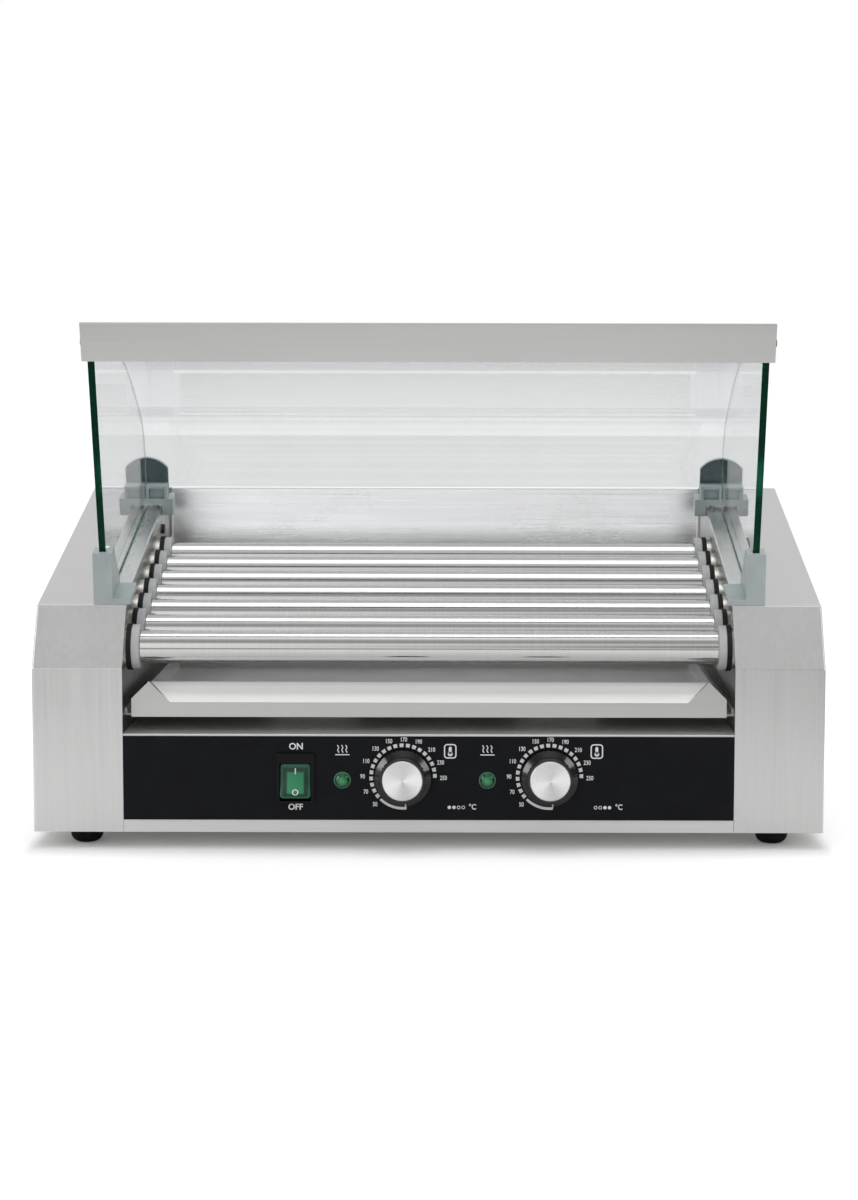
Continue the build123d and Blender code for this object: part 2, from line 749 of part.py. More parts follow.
# Terminal block: on the floor under the shield
terminal_rear = back_y - terminal_back
terminal_top = floor_top + terminal_height
with BuildPart() as terminal_block:
    block((-terminal_length / 2, terminal_length / 2), (terminal_rear - terminal_depth, terminal_rear),
          (floor_top, terminal_top))
    for i in range(terminal_count):
        x = (i - (terminal_count - 1) / 2) * terminal_pitch
        with Locations((x, terminal_rear - terminal_depth / 2, terminal_top)):
            Cylinder(terminal_hole, 2 * terminal_hole_depth, mode=Mode.SUBTRACT)
keep(terminal_block, "terminal_block")

# Drip tray: shallow pan with a sloping front lip between two ears
tray_half = bay_half - tray_side_gap
pan_wall = tray_half - tray_wall_inset
tray_z = foot_height + tray_low
tray_y = front_y + tray_setback
tray_back = back_y - tray_back_gap
ear_x = tray_half - tray_ear_corner
notch_x = ear_x - tray_notch
notch_z = tray_z + tray_ear - tray_notch
with BuildPart() as drip_tray:
    block((-pan_wall, pan_wall), (tray_y, tray_back), (tray_z, tray_z + tray_sheet))
    with BuildSketch(Plane.XZ.offset(-tray_y)):
        with BuildLine():
            Polyline(
                (-tray_half, tray_z),
                (-tray_half, tray_z + tray_shoulder),
                (-ear_x, tray_z + tray_ear),
                (-notch_x, notch_z),
                (notch_x, notch_z),
                (ear_x, tray_z + tray_ear),
                (tray_half, tray_z + tray_shoulder),
                (tray_half, tray_z),
                close=True,
            )
        make_face()
    extrude(amount=-tray_sheet)
    ramp = Plane(origin=(0, tray_y, notch_z), x_dir=(1, 0, 0), z_dir=(0, -1, 1))
    with BuildSketch(ramp):
        with BuildLine():
            Polyline(
                (-notch_x, 0),
                (-ear_x, tray_ramp * sqrt(2)),
                (ear_x, tray_ramp * sqrt(2)),
                (notch_x, 0),
                close=True,
            )
        make_face()
    extrude(amount=-tray_sheet)
    lip_y = tray_y + tray_ramp
    with BuildSketch(Plane.XZ.offset(-lip_y)):
        with BuildLine():
            Polyline(
                (-pan_wall, tray_z),
                (-pan_wall, tray_z + tray_wall),
                (-ear_x, notch_z + tray_ramp),
                (ear_x, notch_z + tray_ramp),
                (pan_wall, tray_z + tray_wall),
                (pan_wall, tray_z),
                close=True,
            )
        make_face()
    extrude(amount=-tray_sheet)
    for side in (-1, 1):
        block((side * (pan_wall - tray_sheet), side * pan_wall), (tray_y, tray_back),
              (tray_z, tray_z + tray_wall))
    block((-pan_wall, pan_wall), (tray_back - tray_sheet, tray_back), (tray_z, tray_z + tray_wall))
keep(drip_tray, "drip_tray")

# Tray runners: angles on the side plates
with BuildPart() as tray_runners:
    for side in (-1, 1):
        block((side * (bay_half - runner_width), side * bay_half), (tray_y + runner_setback, tray_back),
              (tray_z - seat_gap - runner_sheet, tray_z - seat_gap))
        block((side * (bay_half - runner_sheet), side * bay_half), (tray_y + runner_setback, tray_back),
              (tray_z - seat_gap - runner_sheet, tray_z + runner_rise))
keep(tray_runners, "tray_runners")

# Side panes: leaning front edge, curved top, square foot stepped over the rear saddle
crown_inner = crown_radius - back_pane_thickness
pane_low = post_floor + seat_gap
step_u = saddle_front - pane_step_gap
pane_start = front_line(hood_front, pane_low)
pane_tip = crown_meet(hood_front, crown_inner)
with BuildPart() as right_pane:
    with BuildSketch(deck_side.offset(pane_x - pane_thickness / 2)):
        with BuildLine():
            Line(pane_start, pane_tip)
            ThreePointArc(pane_tip, crown_point(crown_inner, hood_front), bend_point(back_pane_thickness, 45))
            ThreePointArc(bend_point(back_pane_thickness, 45), bend_point(back_pane_thickness, 22.5),
                          bend_point(back_pane_thickness, 0))
            Polyline(
                bend_point(back_pane_thickness, 0),
                (hood_rear - back_pane_thickness, pane_step),
                (step_u, pane_step),
                (step_u, pane_low),
                pane_start,
            )
        make_face()
    extrude(amount=pane_thickness)
keep(right_pane, "right_pane")

with BuildPart() as left_pane:
    mirror(right_pane.part, about=Plane.YZ)
keep(left_pane, "left_pane")

# Back pane: one bent sheet over the curved edges of the side panes
back_tip = crown_meet(hood_front, crown_radius)
with BuildPart() as back_pane:
    with BuildSketch(deck_side.offset(-pane_out)):
        with BuildLine():
            Line(pane_tip, back_tip)
            ThreePointArc(back_tip, crown_point(crown_radius, hood_front), bend_point(0, 45))
            ThreePointArc(bend_point(0, 45), bend_point(0, 22.5), bend_point(0, 0))
            Polyline(
                bend_point(0, 0),
                (hood_rear, back_pane_edge),
                (hood_rear - back_pane_thickness, back_pane_edge),
                bend_point(back_pane_thickness, 0),
            )
            ThreePointArc(bend_point(back_pane_thickness, 0), bend_point(back_pane_thickness, 22.5),
                          bend_point(back_pane_thickness, 45))
            ThreePointArc(bend_point(back_pane_thickness, 45), crown_point(crown_inner, hood_front), pane_tip)
        make_face()
    extrude(amount=2 * pane_out)
keep(back_pane, "back_pane")

# Top bar: folded channel with closed ends over the front of the glass
bar_tip = crown_meet(bar_inner_line, bar_radius - sheet)
bar_back = crown_meet(bar_end_line, bar_radius)
bar_back_inner = crown_meet(bar_end_line, bar_radius - sheet)


def bar_arc(radius, first, last):
    """Point on the bar's top halfway between two others."""
    u = (first[0] + last[0]) / 2
    return (u, crown_n + sqrt(radius**2 - (u - crown_u) ** 2))


screw_point = front_line(bar_line + bar_depth / 3, bar_low + bar_drop * 0.42)
screw_at = deck_at(*screw_point)
with BuildPart() as top_bar:
    with BuildSketch(deck_side.offset(-bar_half)):
        with BuildLine():
            Line(front_line(bar_line, bar_low), bar_corner)
            ThreePointArc(bar_corner, bar_arc(bar_radius, bar_corner, bar_back), bar_back)
            Line(bar_back, bar_back_inner)
            ThreePointArc(bar_back_inner, bar_arc(bar_radius - sheet, bar_tip, bar_back_inner), bar_tip)
            Polyline(bar_tip, front_line(bar_inner_line, bar_low), front_line(bar_line, bar_low))
        make_face()
    extrude(amount=2 * bar_half)
    for start in (-bar_half, bar_half - sheet):
        with BuildSketch(deck_side.offset(start)):
            with BuildLine():
                Line(front_line(bar_line, bar_low), bar_corner)
                ThreePointArc(bar_corner, bar_arc(bar_radius, bar_corner, bar_back), bar_back)
                Polyline(bar_back, front_line(bar_end_line, bar_low), front_line(bar_line, bar_low))
            make_face()
        extrude(amount=sheet)
    fold_at = deck_at(*bar_corner)
    fillet(top_bar.edges().filter_by(Axis.X).sort_by_distance((0, fold_at[0], fold_at[1]))[0], small_fold)
    rod_x(bar_screw_shank, (-bar_half - sheet, bar_half + sheet), screw_at, mode=Mode.SUBTRACT)
keep(top_bar, "top_bar")

with BuildPart() as bar_screws:
    for side in (-1, 1):
        rod_x(bar_screw_radius, (side * bar_half, side * (bar_half + bar_screw_head)), screw_at)
        rod_x(bar_screw_shank, (side * (pane_out + seat_gap), side * bar_half), screw_at)
keep(bar_screws, "bar_screws")

# Front posts: slotted for the panes, with a foot towards the rollers
post_in = pane_x - post_width / 2
with BuildPart() as right_front_post:
    with BuildSketch(deck_side.offset(post_in)):
        with BuildLine():
            Polyline(
                (post_front, 0),
                (post_front + post_rake, post_height),
                (post_front + post_rake + post_top, post_height),
                (post_front + post_length, post_toe),
                (post_front + post_length, 0),
                close=True,
            )
        make_face()
    extrude(amount=post_width)
    deck_block((post_in - foot_plate, post_in), (post_front, post_front + foot_plate_length),
               (0, foot_plate_thickness))
    slot_half = pane_thickness / 2 + seat_gap
    with BuildSketch(deck_side.offset(pane_x - slot_half)):
        with BuildLine():
            Polyline(
                front_line(hood_front - seat_gap, post_floor),
                front_line(hood_front - seat_gap, 2 * post_height),
                (2 * post_length, 2 * post_height),
                (2 * post_length, post_floor),
                close=True,
            )
        make_face()
    extrude(amount=2 * slot_half, mode=Mode.SUBTRACT)
keep(right_front_post, "right_front_post")

with BuildPart() as left_front_post:
    mirror(right_front_post.part, about=Plane.YZ)
keep(left_front_post, "left_front_post")

# Rear saddles: hook over the rail's inner edge, hold the pane between cheeks, back the bent pane
saddle_left = bay_half - seat_gap - saddle_inner
saddle_right = pane_x + post_width / 2
saddle_top = saddle_low + saddle_thickness
tab_x = pane_x - plate_inset
tab_top = saddle_low + tab_height
tab_front = hood_rear + seat_gap
saddle_rear = tab_front + tab_thickness
cheek_rear = hood_rear - back_pane_thickness - seat_gap
with BuildPart() as right_rear_saddle:
    deck_block((saddle_left, saddle_right), (saddle_front, saddle_rear), (saddle_low, saddle_top))
    deck_block((saddle_left, bay_half - seat_gap), (saddle_front, saddle_rear), (-saddle_hook, saddle_top))
    for x in (bay_half + saddle_pad, saddle_right - saddle_pad):
        deck_block((x, x + saddle_pad), (saddle_front + saddle_pad, saddle_rear), (0, saddle_low))
    cheek_top = saddle_top + cheek_height
    cheek_near = pane_x - slot_half
    cheek_far = tab_x - tab_width / 2
    deck_block((cheek_far, cheek_near), (saddle_front, cheek_rear), (saddle_low, cheek_top))
    deck_block((cheek_far + pocket_wall, cheek_near - pocket_wall),
               (saddle_front - sheet, saddle_front + pocket_depth),
               (saddle_top, cheek_top - pocket_wall), mode=Mode.SUBTRACT)
    deck_block((pane_x + slot_half, saddle_right), (saddle_front, cheek_rear), (saddle_low, cheek_top))
    with BuildSketch(Plane(deck.location * Pos(0, tab_front, 0)).rotated((90, 0, 0))):
        with BuildLine():
            Polyline(
                (tab_x - tab_width / 2, tab_top - tab_crown),
                (tab_x - tab_width / 2, saddle_low),
                (tab_x + tab_width / 2, saddle_low),
                (tab_x + tab_width / 2, tab_top - tab_crown),
            )
            ThreePointArc((tab_x + tab_width / 2, tab_top - tab_crown), (tab_x, tab_top),
                          (tab_x - tab_width / 2, tab_top - tab_crown))
        make_face()
    extrude(amount=-tab_thickness)
    deck_block((saddle_right, saddle_right + tab_width), (tab_front - sheet, saddle_rear + sheet),
               (0, tab_top + sheet), mode=Mode.SUBTRACT)
keep(right_rear_saddle, "right_rear_saddle")

with BuildPart() as left_rear_saddle:
    mirror(right_rear_saddle.part, about=Plane.YZ)
keep(left_rear_saddle, "left_rear_saddle")

# Feet and body screws
with BuildPart() as rubber_feet:
    for x in (-half_width + foot_inset_x, half_width - foot_inset_x):
        for y in (front_y + foot_inset_y, back_y - foot_inset_y):
            with Locations((x, y, foot_height / 2)):
                Cylinder(foot_radius, foot_height)
    fillet(rubber_feet.edges().group_by(Axis.Z)[0], foot_round)
keep(rubber_feet, "rubber_feet")

with BuildPart() as body_screws:
    rod_x(screw_head, (-bay_half + screw_head_height, -bay_half), deck_screw_at)
    rod_x(screw_shank, (-bay_half, -bay_half - screw_length), deck_screw_at)
    for side in (-1, 1):
        x = side * (inner_edge + end_width / 2)
        rod_y(screw_head, (back_y, back_y + screw_head_height), x, foot_height + pan_lip / 2)
        rod_y(screw_shank, (back_y - screw_length, back_y), x, foot_height + pan_lip / 2)
keep(body_screws, "body_screws")
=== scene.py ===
import json
from math import atan2, cos, pi, radians, sin

import bpy
from mathutils import Matrix, Vector


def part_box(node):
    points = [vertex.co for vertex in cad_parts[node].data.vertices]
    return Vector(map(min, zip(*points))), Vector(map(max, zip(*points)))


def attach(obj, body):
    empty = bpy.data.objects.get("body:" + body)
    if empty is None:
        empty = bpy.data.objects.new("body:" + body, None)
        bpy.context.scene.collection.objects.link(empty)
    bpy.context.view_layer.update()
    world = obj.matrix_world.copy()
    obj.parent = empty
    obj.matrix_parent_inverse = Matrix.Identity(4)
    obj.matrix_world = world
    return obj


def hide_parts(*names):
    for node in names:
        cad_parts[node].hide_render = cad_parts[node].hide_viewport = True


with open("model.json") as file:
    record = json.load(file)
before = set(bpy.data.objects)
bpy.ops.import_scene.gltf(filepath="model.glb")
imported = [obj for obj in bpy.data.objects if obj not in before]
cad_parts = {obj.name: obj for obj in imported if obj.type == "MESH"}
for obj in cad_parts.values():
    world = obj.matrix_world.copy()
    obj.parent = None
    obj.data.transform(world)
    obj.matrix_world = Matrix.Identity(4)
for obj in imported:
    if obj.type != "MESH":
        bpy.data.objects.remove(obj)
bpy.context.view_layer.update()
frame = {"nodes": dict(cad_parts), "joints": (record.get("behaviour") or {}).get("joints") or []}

MM = 0.001
SIDES = ("front", "back")
ROLLERS = range(1, 8)
nodes = frame["nodes"]
joints = {joint["name"]: joint for joint in frame["joints"]}


# Small helpers for modelling by hand

MERGE_DISTANCE = 1e-6
SMOOTH_ANGLE = radians(35)


def clear_selection():
    """Go back to object mode with nothing selected."""
    if bpy.context.mode != "OBJECT":
        bpy.ops.object.mode_set(mode="OBJECT")
    bpy.ops.object.select_all(action="DESELECT")


def active():
    """The piece just made or chosen."""
    return bpy.context.view_layer.objects.active


def take(piece):
    """Make one piece the only one selected."""
    clear_selection()
    piece.select_set(True)
    bpy.context.view_layer.objects.active = piece


def edit_all(piece):
    """Enter edit mode with everything selected."""
    take(piece)
    bpy.ops.object.mode_set(mode="EDIT")
    bpy.ops.mesh.select_all(action="SELECT")


def pick_points(piece, test):
    """Enter edit mode with the points selected that pass the test."""
    take(piece)
    bpy.ops.object.mode_set(mode="EDIT")
    bpy.ops.mesh.select_mode(type="VERT")
    bpy.ops.mesh.select_all(action="DESELECT")
    bpy.ops.object.mode_set(mode="OBJECT")
    for point in piece.data.vertices:
        point.select = test(point.co)
    bpy.ops.object.mode_set(mode="EDIT")


def moved(x, y, z):
    """The matrix of a shift."""
    return Matrix.Translation((x, y, z))


def rotated(angle, axis):
    """The matrix of a turn about an axis."""
    return Matrix.Rotation(angle, 4, axis)


def set_down(piece):
    """Put a piece's place, turn and scale into its mesh."""
    take(piece)
    bpy.ops.object.transform_apply(location=True, rotation=True, scale=True)
    return piece


def clean(piece):
    """Merge doubles and turn all faces outwards."""
    edit_all(piece)
    bpy.ops.mesh.remove_doubles(threshold=MERGE_DISTANCE)
    bpy.ops.mesh.normals_make_consistent(inside=False)
    bpy.ops.object.mode_set(mode="OBJECT")
    return piece


def soften(piece, width, segments=2, angle=40):
    """Round a piece's sharp edges."""
    take(piece)
    rounding = piece.modifiers.new("edges", "BEVEL")
    rounding.width = width
    rounding.segments = segments
    rounding.limit_method = "ANGLE"
    rounding.angle_limit = radians(angle)
    bpy.ops.object.modifier_apply(modifier=rounding.name)
    bpy.ops.object.shade_smooth_by_angle(angle=SMOOTH_ANGLE)
    return piece


def block(width, depth, height, rounding):
    """A small block about the origin with softened edges."""
    clear_selection()
    bpy.ops.mesh.primitive_cube_add(size=1)
    piece = active()
    piece.scale = (width, depth, height)
    set_down(piece)
    return soften(piece, rounding)


def copy_of(piece):
    """A copy with its own mesh."""
    take(piece)
    bpy.ops.object.duplicate(linked=False)
    return active()


def join_all(pieces, name):
    """Join pieces into one."""
    clear_selection()
    for piece in pieces:
        piece.select_set(True)
    bpy.context.view_layer.objects.active = pieces[0]
    bpy.ops.object.join()
    whole = active()
    whole.name = name
    return whole


def dress(piece, finish):
    """Give a piece one finish."""
    piece.data.materials.clear()
    piece.data.materials.append(finish)


def carry(piece, body, finish):
    """Finish a new piece and hang it on a body."""
    dress(piece, finish)
    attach(piece, body)


def middle(node):
    """The centre of a node's box."""
    low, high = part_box(node)
    return (low + high) / 2


# Short ways to add shading nodes to a tree; each gives back what comes out

NOISE_LOW, NOISE_HIGH = 0.3, 0.7


def noise_in(tree, vector, scale, detail, rough=0.55):
    """A soft random value from place to place."""
    noise = tree.nodes.new("ShaderNodeTexNoise")
    noise.inputs["Scale"].default_value = scale
    noise.inputs["Detail"].default_value = detail
    noise.inputs["Roughness"].default_value = rough
    tree.links.new(vector, noise.inputs["Vector"])
    return noise.outputs["Fac"]


def spread(tree, value, low, high, start, end):
    """Map a value from low..high to start..end."""
    node = tree.nodes.new("ShaderNodeMapRange")
    node.inputs["From Min"].default_value = low
    node.inputs["From Max"].default_value = high
    node.inputs["To Min"].default_value = start
    node.inputs["To Max"].default_value = end
    tree.links.new(value, node.inputs["Value"])
    return node.outputs["Result"]


def rise(tree, value, low, high):
    """A mask that is 0 below low and 1 above high."""
    return spread(tree, value, low, high, 0.0, 1.0)


def fall(tree, value, low, high):
    """A mask that is 1 below low and 0 above high."""
    return spread(tree, value, low, high, 1.0, 0.0)


def vary(tree, noise, start, end):
    """Map a noise, over the range it mostly fills, to start..end."""
    return spread(tree, noise, NOISE_LOW, NOISE_HIGH, start, end)


def combine(tree, kind, first, second=0.0):
    """Join two values, or a value and a number."""
    node = tree.nodes.new("ShaderNodeMath")
    node.operation = kind
    tree.links.new(first, node.inputs[0])
    if isinstance(second, (int, float)):
        node.inputs[1].default_value = second
    else:
        tree.links.new(second, node.inputs[1])
    return node.outputs[0]


def plus(tree, base, extra, share):
    """A value with a share of another one added."""
    return combine(tree, "ADD", base, combine(tree, "MULTIPLY", extra, share))


def vector_in(tree, kind, first, second=None):
    """One step of arithmetic with a vector."""
    node = tree.nodes.new("ShaderNodeVectorMath")
    node.operation = kind
    tree.links.new(first, node.inputs[0])
    if second is not None:
        node.inputs[1].default_value = second
    return node.outputs


def split_in(tree, vector):
    """The X, Y and Z of a vector."""
    node = tree.nodes.new("ShaderNodeSeparateXYZ")
    tree.links.new(vector, node.inputs[0])
    return node.outputs


def split_from(tree, vector, centre):
    """The X, Y and Z of a place, counted from a centre."""
    node = tree.nodes.new("ShaderNodeMapping")
    node.inputs["Location"].default_value = -centre
    tree.links.new(vector, node.inputs["Vector"])
    return split_in(tree, node.outputs["Vector"])


def ramp_in(tree, value, stops):
    """Colours along a value; each stop is a place and a colour."""
    ramp = tree.nodes.new("ShaderNodeValToRGB")
    points = ramp.color_ramp.elements
    while len(points) < len(stops):
        points.new(0.5)
    for point, (where, colour) in zip(points, stops):
        point.position = where
        point.color = (*colour, 1.0)
    tree.links.new(value, ramp.inputs["Fac"])
    return ramp.outputs["Color"]


def mix_in(tree, mask, first, second):
    """One colour or the other by a mask."""
    mix = tree.nodes.new("ShaderNodeMix")
    mix.data_type = "RGBA"
    tree.links.new(mask, mix.inputs["Factor"])
    for colour, socket in ((first, mix.inputs[6]), (second, mix.inputs[7])):
        if isinstance(colour, tuple):
            socket.default_value = (*colour, 1.0)
        else:
            tree.links.new(colour, socket)
    return mix.outputs[2]


def shaders_in(tree, mask, first, second):
    """One shader or the other by a mask."""
    mix = tree.nodes.new("ShaderNodeMixShader")
    tree.links.new(mask, mix.inputs["Fac"])
    tree.links.new(first.outputs[0], mix.inputs[1])
    tree.links.new(second.outputs[0], mix.inputs[2])
    return mix


def mirrored(tree, path):
    """1 where a ray was thrown back by a shiny face, 0 where it came through glass."""
    return combine(tree, "MULTIPLY", path.outputs["Is Glossy Ray"],
                   fall(tree, path.outputs["Is Transmission Ray"], 0.0, 1.0))


# Effects that several finishes share

def new_group(name, vectors, values):
    """An empty effect with its inputs, all vectors, and its outputs, all values."""
    tree = bpy.data.node_groups.new(name, "ShaderNodeTree")
    for label in vectors:
        tree.interface.new_socket(label, in_out="INPUT", socket_type="NodeSocketVector")
    for label in values:
        tree.interface.new_socket(label, in_out="OUTPUT", socket_type="NodeSocketFloat")
    return tree, tree.nodes.new("NodeGroupInput").outputs, tree.nodes.new("NodeGroupOutput").inputs


# Brush lines: long scratches along the axis with the small scale, and broad patches
brush_tree, brush_in, brush_out = new_group("brush_lines", ["Vector", "Scale"], ["Lines", "Patches"])
stretch = brush_tree.nodes.new("ShaderNodeMapping")
brush_tree.links.new(brush_in["Vector"], stretch.inputs["Vector"])
brush_tree.links.new(brush_in["Scale"], stretch.inputs["Scale"])
scratches = noise_in(brush_tree, stretch.outputs["Vector"], scale=1.0, detail=5.0, rough=0.65)
brush_tree.links.new(scratches, brush_out["Lines"])
patches = noise_in(brush_tree, brush_in["Vector"], scale=7.0, detail=3.0)
brush_tree.links.new(patches, brush_out["Patches"])

# Touch marks: faint smears left by hands and cloths, and fine specks
touch_tree, touch_in, touch_out = new_group("touch_marks", ["Vector"], ["Smears", "Specks"])
broad = noise_in(touch_tree, touch_in["Vector"], scale=16.0, detail=6.0, rough=0.6)
touch_tree.links.new(rise(touch_tree, broad, 0.52, 0.72), touch_out["Smears"])
fine = noise_in(touch_tree, touch_in["Vector"], scale=900.0, detail=2.0)
touch_tree.links.new(rise(touch_tree, fine, 0.68, 0.76), touch_out["Specks"])

# Moulded grain: the fine skin of moulded plastic and rubber
mould_tree, mould_in, mould_out = new_group("moulded_grain", ["Vector"], ["Grain", "Flow"])
cells = mould_tree.nodes.new("ShaderNodeTexVoronoi")
cells.inputs["Scale"].default_value = 1400.0
mould_tree.links.new(mould_in["Vector"], cells.inputs["Vector"])
mould_tree.links.new(cells.outputs["Distance"], mould_out["Grain"])
flow = noise_in(mould_tree, mould_in["Vector"], scale=45.0, detail=4.0)
mould_tree.links.new(flow, mould_out["Flow"])


class Finish:
    """A material with its shader, its object coordinates and short ways to wire them."""

    def __init__(self, name):
        self.material = bpy.data.materials.new(name)
        self.material.use_nodes = True
        self.tree = self.material.node_tree
        self.shader = self.tree.nodes["Principled BSDF"]
        self.place = self.tree.nodes.new("ShaderNodeTexCoord").outputs["Object"]

    def set(self, **values):
        """Set plain values of the shader."""
        for label, value in values.items():
            self.shader.inputs[label.replace("_", " ")].default_value = value
        return self

    def wire(self, output, label):
        """Lead an output into the shader."""
        self.tree.links.new(output, self.shader.inputs[label])

    def effect(self, group, **values):
        """Add a shared effect on the object coordinates."""
        node = self.tree.nodes.new("ShaderNodeGroup")
        node.node_tree = group
        self.tree.links.new(self.place, node.inputs["Vector"])
        for label, value in values.items():
            node.inputs[label].default_value = value
        return node.outputs

    def tint(self, value, *stops):
        """Colours along a value; each stop is a place and a colour."""
        return ramp_in(self.tree, value, stops)

    def blend(self, mask, first, second):
        """One colour or the other by a mask."""
        return mix_in(self.tree, mask, first, second)

    def bump(self, height, strength, distance):
        """Let a height ruffle the surface."""
        node = self.tree.nodes.new("ShaderNodeBump")
        node.inputs["Strength"].default_value = strength
        node.inputs["Distance"].default_value = distance
        self.tree.links.new(height, node.inputs["Height"])
        self.wire(node.outputs["Normal"], "Normal")

    def facing(self, axis):
        """How squarely the surface faces along X, Y or Z, either way; -Y is the front alone."""
        geometry = self.tree.nodes.new("ShaderNodeNewGeometry")
        normal = split_in(self.tree, geometry.outputs["Normal"])
        if axis.startswith("-"):
            return combine(self.tree, "MULTIPLY", normal[axis[1:]], -1.0)
        return combine(self.tree, "ABSOLUTE", normal[axis])


# Metals

LINE_SHARE, PATCH_SHARE = 0.7, 0.3
SHADE_LOW, SHADE_HIGH = 0.36, 0.64
PAINTED_FACE_LIGHTER = 1.06


def brushed_steel(name, grain, dark, light, rough, top_grain=None, metal=1.0, other=None):
    """Brushed stainless sheet; grain is the scale of its lines along X, Y and Z.

    Faces along one axis can get painted light or shade as a tone of their own, and their own roughness; a
    sign takes one way of it.
    """
    finish = Finish(name).set(Metallic=metal)
    tree = finish.tree
    brush = finish.effect(brush_tree, Scale=grain)
    lines = brush["Lines"]
    if top_grain:
        top = finish.effect(brush_tree, Scale=top_grain)["Lines"]
        choose = tree.nodes.new("ShaderNodeMix")
        tree.links.new(rise(tree, finish.facing("Z"), 0.7, 0.8), choose.inputs["Factor"])
        tree.links.new(lines, choose.inputs[2])
        tree.links.new(top, choose.inputs[3])
        lines = choose.outputs[0]
    marks = finish.effect(touch_tree)
    shade = plus(tree, combine(tree, "MULTIPLY", lines, LINE_SHARE), brush["Patches"], PATCH_SHARE)
    colour = finish.tint(shade, (SHADE_LOW, dark), (SHADE_HIGH, light))
    grainy = vary(tree, lines, rough - 0.05, rough + 0.06)
    # painted light and shade: the faces along one axis get a lighter or darker tone than the sheet
    if other:
        way, tone, other_rough = other
        square = rise(tree, finish.facing(way), 0.90, 0.97)
        lighter = tuple(PAINTED_FACE_LIGHTER * level for level in tone)
        painted_face_colour = finish.tint(shade, (SHADE_LOW, tone), (SHADE_HIGH, lighter))
        colour = finish.blend(square, colour, painted_face_colour)
        grainy = plus(tree, grainy, square, other_rough - rough)
    finish.wire(colour, "Base Color")
    finish.wire(plus(tree, grainy, marks["Smears"], 0.05), "Roughness")
    return finish.material


STEEL_DARK, STEEL_LIGHT = (0.60, 0.60, 0.595), (0.645, 0.645, 0.64)
UPRIGHT, LENGTHWISE, ACROSS = (420, 420, 9), (420, 9, 420), (9, 420, 420)
housing_steel = brushed_steel(
    "brushed_steel_upright", UPRIGHT, STEEL_DARK, STEEL_LIGHT, rough=0.33, top_grain=LENGTHWISE)
# painted light: faces that look up or down get a paler tone than the rest of the sheet
panel_steel = brushed_steel(
    "brushed_steel_across", ACROSS, (0.66, 0.66, 0.655), (0.71, 0.71, 0.705), rough=0.40, metal=0.5,
    other=("Z", (0.86, 0.86, 0.82), 0.16))
# painted light: the face that looks to the front is near white, standing in for light from the front
back_steel = brushed_steel(
    "back_steel_with_painted_light", ACROSS, STEEL_DARK, STEEL_LIGHT, rough=0.33,
    other=("-Y", (0.94, 0.945, 0.96), 0.24))
bar_steel = brushed_steel(
    "brushed_bar_steel", (7, 420, 420), (0.565, 0.565, 0.55), (0.605, 0.605, 0.59), rough=0.36)
# painted shade: faces that look sideways get a much darker tone than the rails on top
rail_steel = brushed_steel(
    "brushed_steel_lengthwise", (420, 9, 300), (0.68, 0.685, 0.68), (0.73, 0.735, 0.73), rough=0.30,
    other=("X", (0.42, 0.42, 0.41), 0.30))
# painted shade: faces that look to the front or back get a darker tone than the bright slopes
tray_steel = brushed_steel(
    "bright_tray_steel", (6, 300, 300), (0.84, 0.84, 0.83), (0.89, 0.89, 0.88), rough=0.40,
    other=("Y", (0.53, 0.53, 0.52), 0.32))

roller = Finish("turned_chrome").set(Metallic=1.0)
turning = roller.effect(brush_tree, Scale=(1600, 1, 1))["Lines"]
roller_marks = roller.effect(touch_tree)
roller.wire(roller.tint(turning, (0.35, (0.555, 0.555, 0.545)), (0.65, (0.61, 0.61, 0.60))), "Base Color")
roller_rough = vary(roller.tree, turning, 0.10, 0.16)
roller.wire(plus(roller.tree, roller_rough, roller_marks["Smears"], 0.07), "Roughness")
roller.bump(turning, strength=0.02, distance=0.1 * MM)

bush = Finish("machined_bush").set(Metallic=1.0)
bush_brush = bush.effect(brush_tree, Scale=(900, 300, 300))
bush.wire(bush.tint(bush_brush["Lines"], (0.3, (0.52, 0.50, 0.46)), (0.7, (0.74, 0.72, 0.68))), "Base Color")
bush.wire(vary(bush.tree, bush_brush["Patches"], 0.24, 0.38), "Roughness")
bush.bump(bush_brush["Lines"], strength=0.1, distance=0.3 * MM)


def dull_metal(name, dark, light, rough):
    """Plated, oiled or heat-dulled metal inside the body."""
    finish = Finish(name).set(Metallic=1.0)
    coat = finish.effect(brush_tree, Scale=(120, 120, 120))
    marks = finish.effect(touch_tree)
    finish.wire(finish.tint(coat["Patches"], (0.32, dark), (0.68, light)), "Base Color")
    grainy = vary(finish.tree, coat["Lines"], rough - 0.06, rough + 0.06)
    finish.wire(plus(finish.tree, grainy, marks["Specks"], 0.2), "Roughness")
    finish.bump(coat["Lines"], strength=0.15, distance=0.3 * MM)
    return finish.material


# after the two colours comes the roughness
chain_metal = dull_metal("oiled_chain_steel", (0.10, 0.10, 0.10), (0.24, 0.24, 0.24), 0.38)
motor_metal = dull_metal("plated_motor_case", (0.34, 0.35, 0.36), (0.46, 0.47, 0.48), 0.42)
thermostat_metal = dull_metal("plated_thermostat_case", (0.48, 0.48, 0.46), (0.62, 0.62, 0.60), 0.36)
heater_metal = dull_metal("heat_dulled_sheath", (0.10, 0.09, 0.085), (0.22, 0.19, 0.17), 0.55)
screw_metal = dull_metal("blackened_screw", (0.03, 0.03, 0.03), (0.08, 0.08, 0.08), 0.40)


PAINTED_FAN_SHARE, PAINTED_RIPPLE_SHARE, RING_SHARE = 0.34, 0.10, 0.25
CAP_GREYS = ((0.0, 0.52), (0.5, 0.74), (1.0, 0.95))


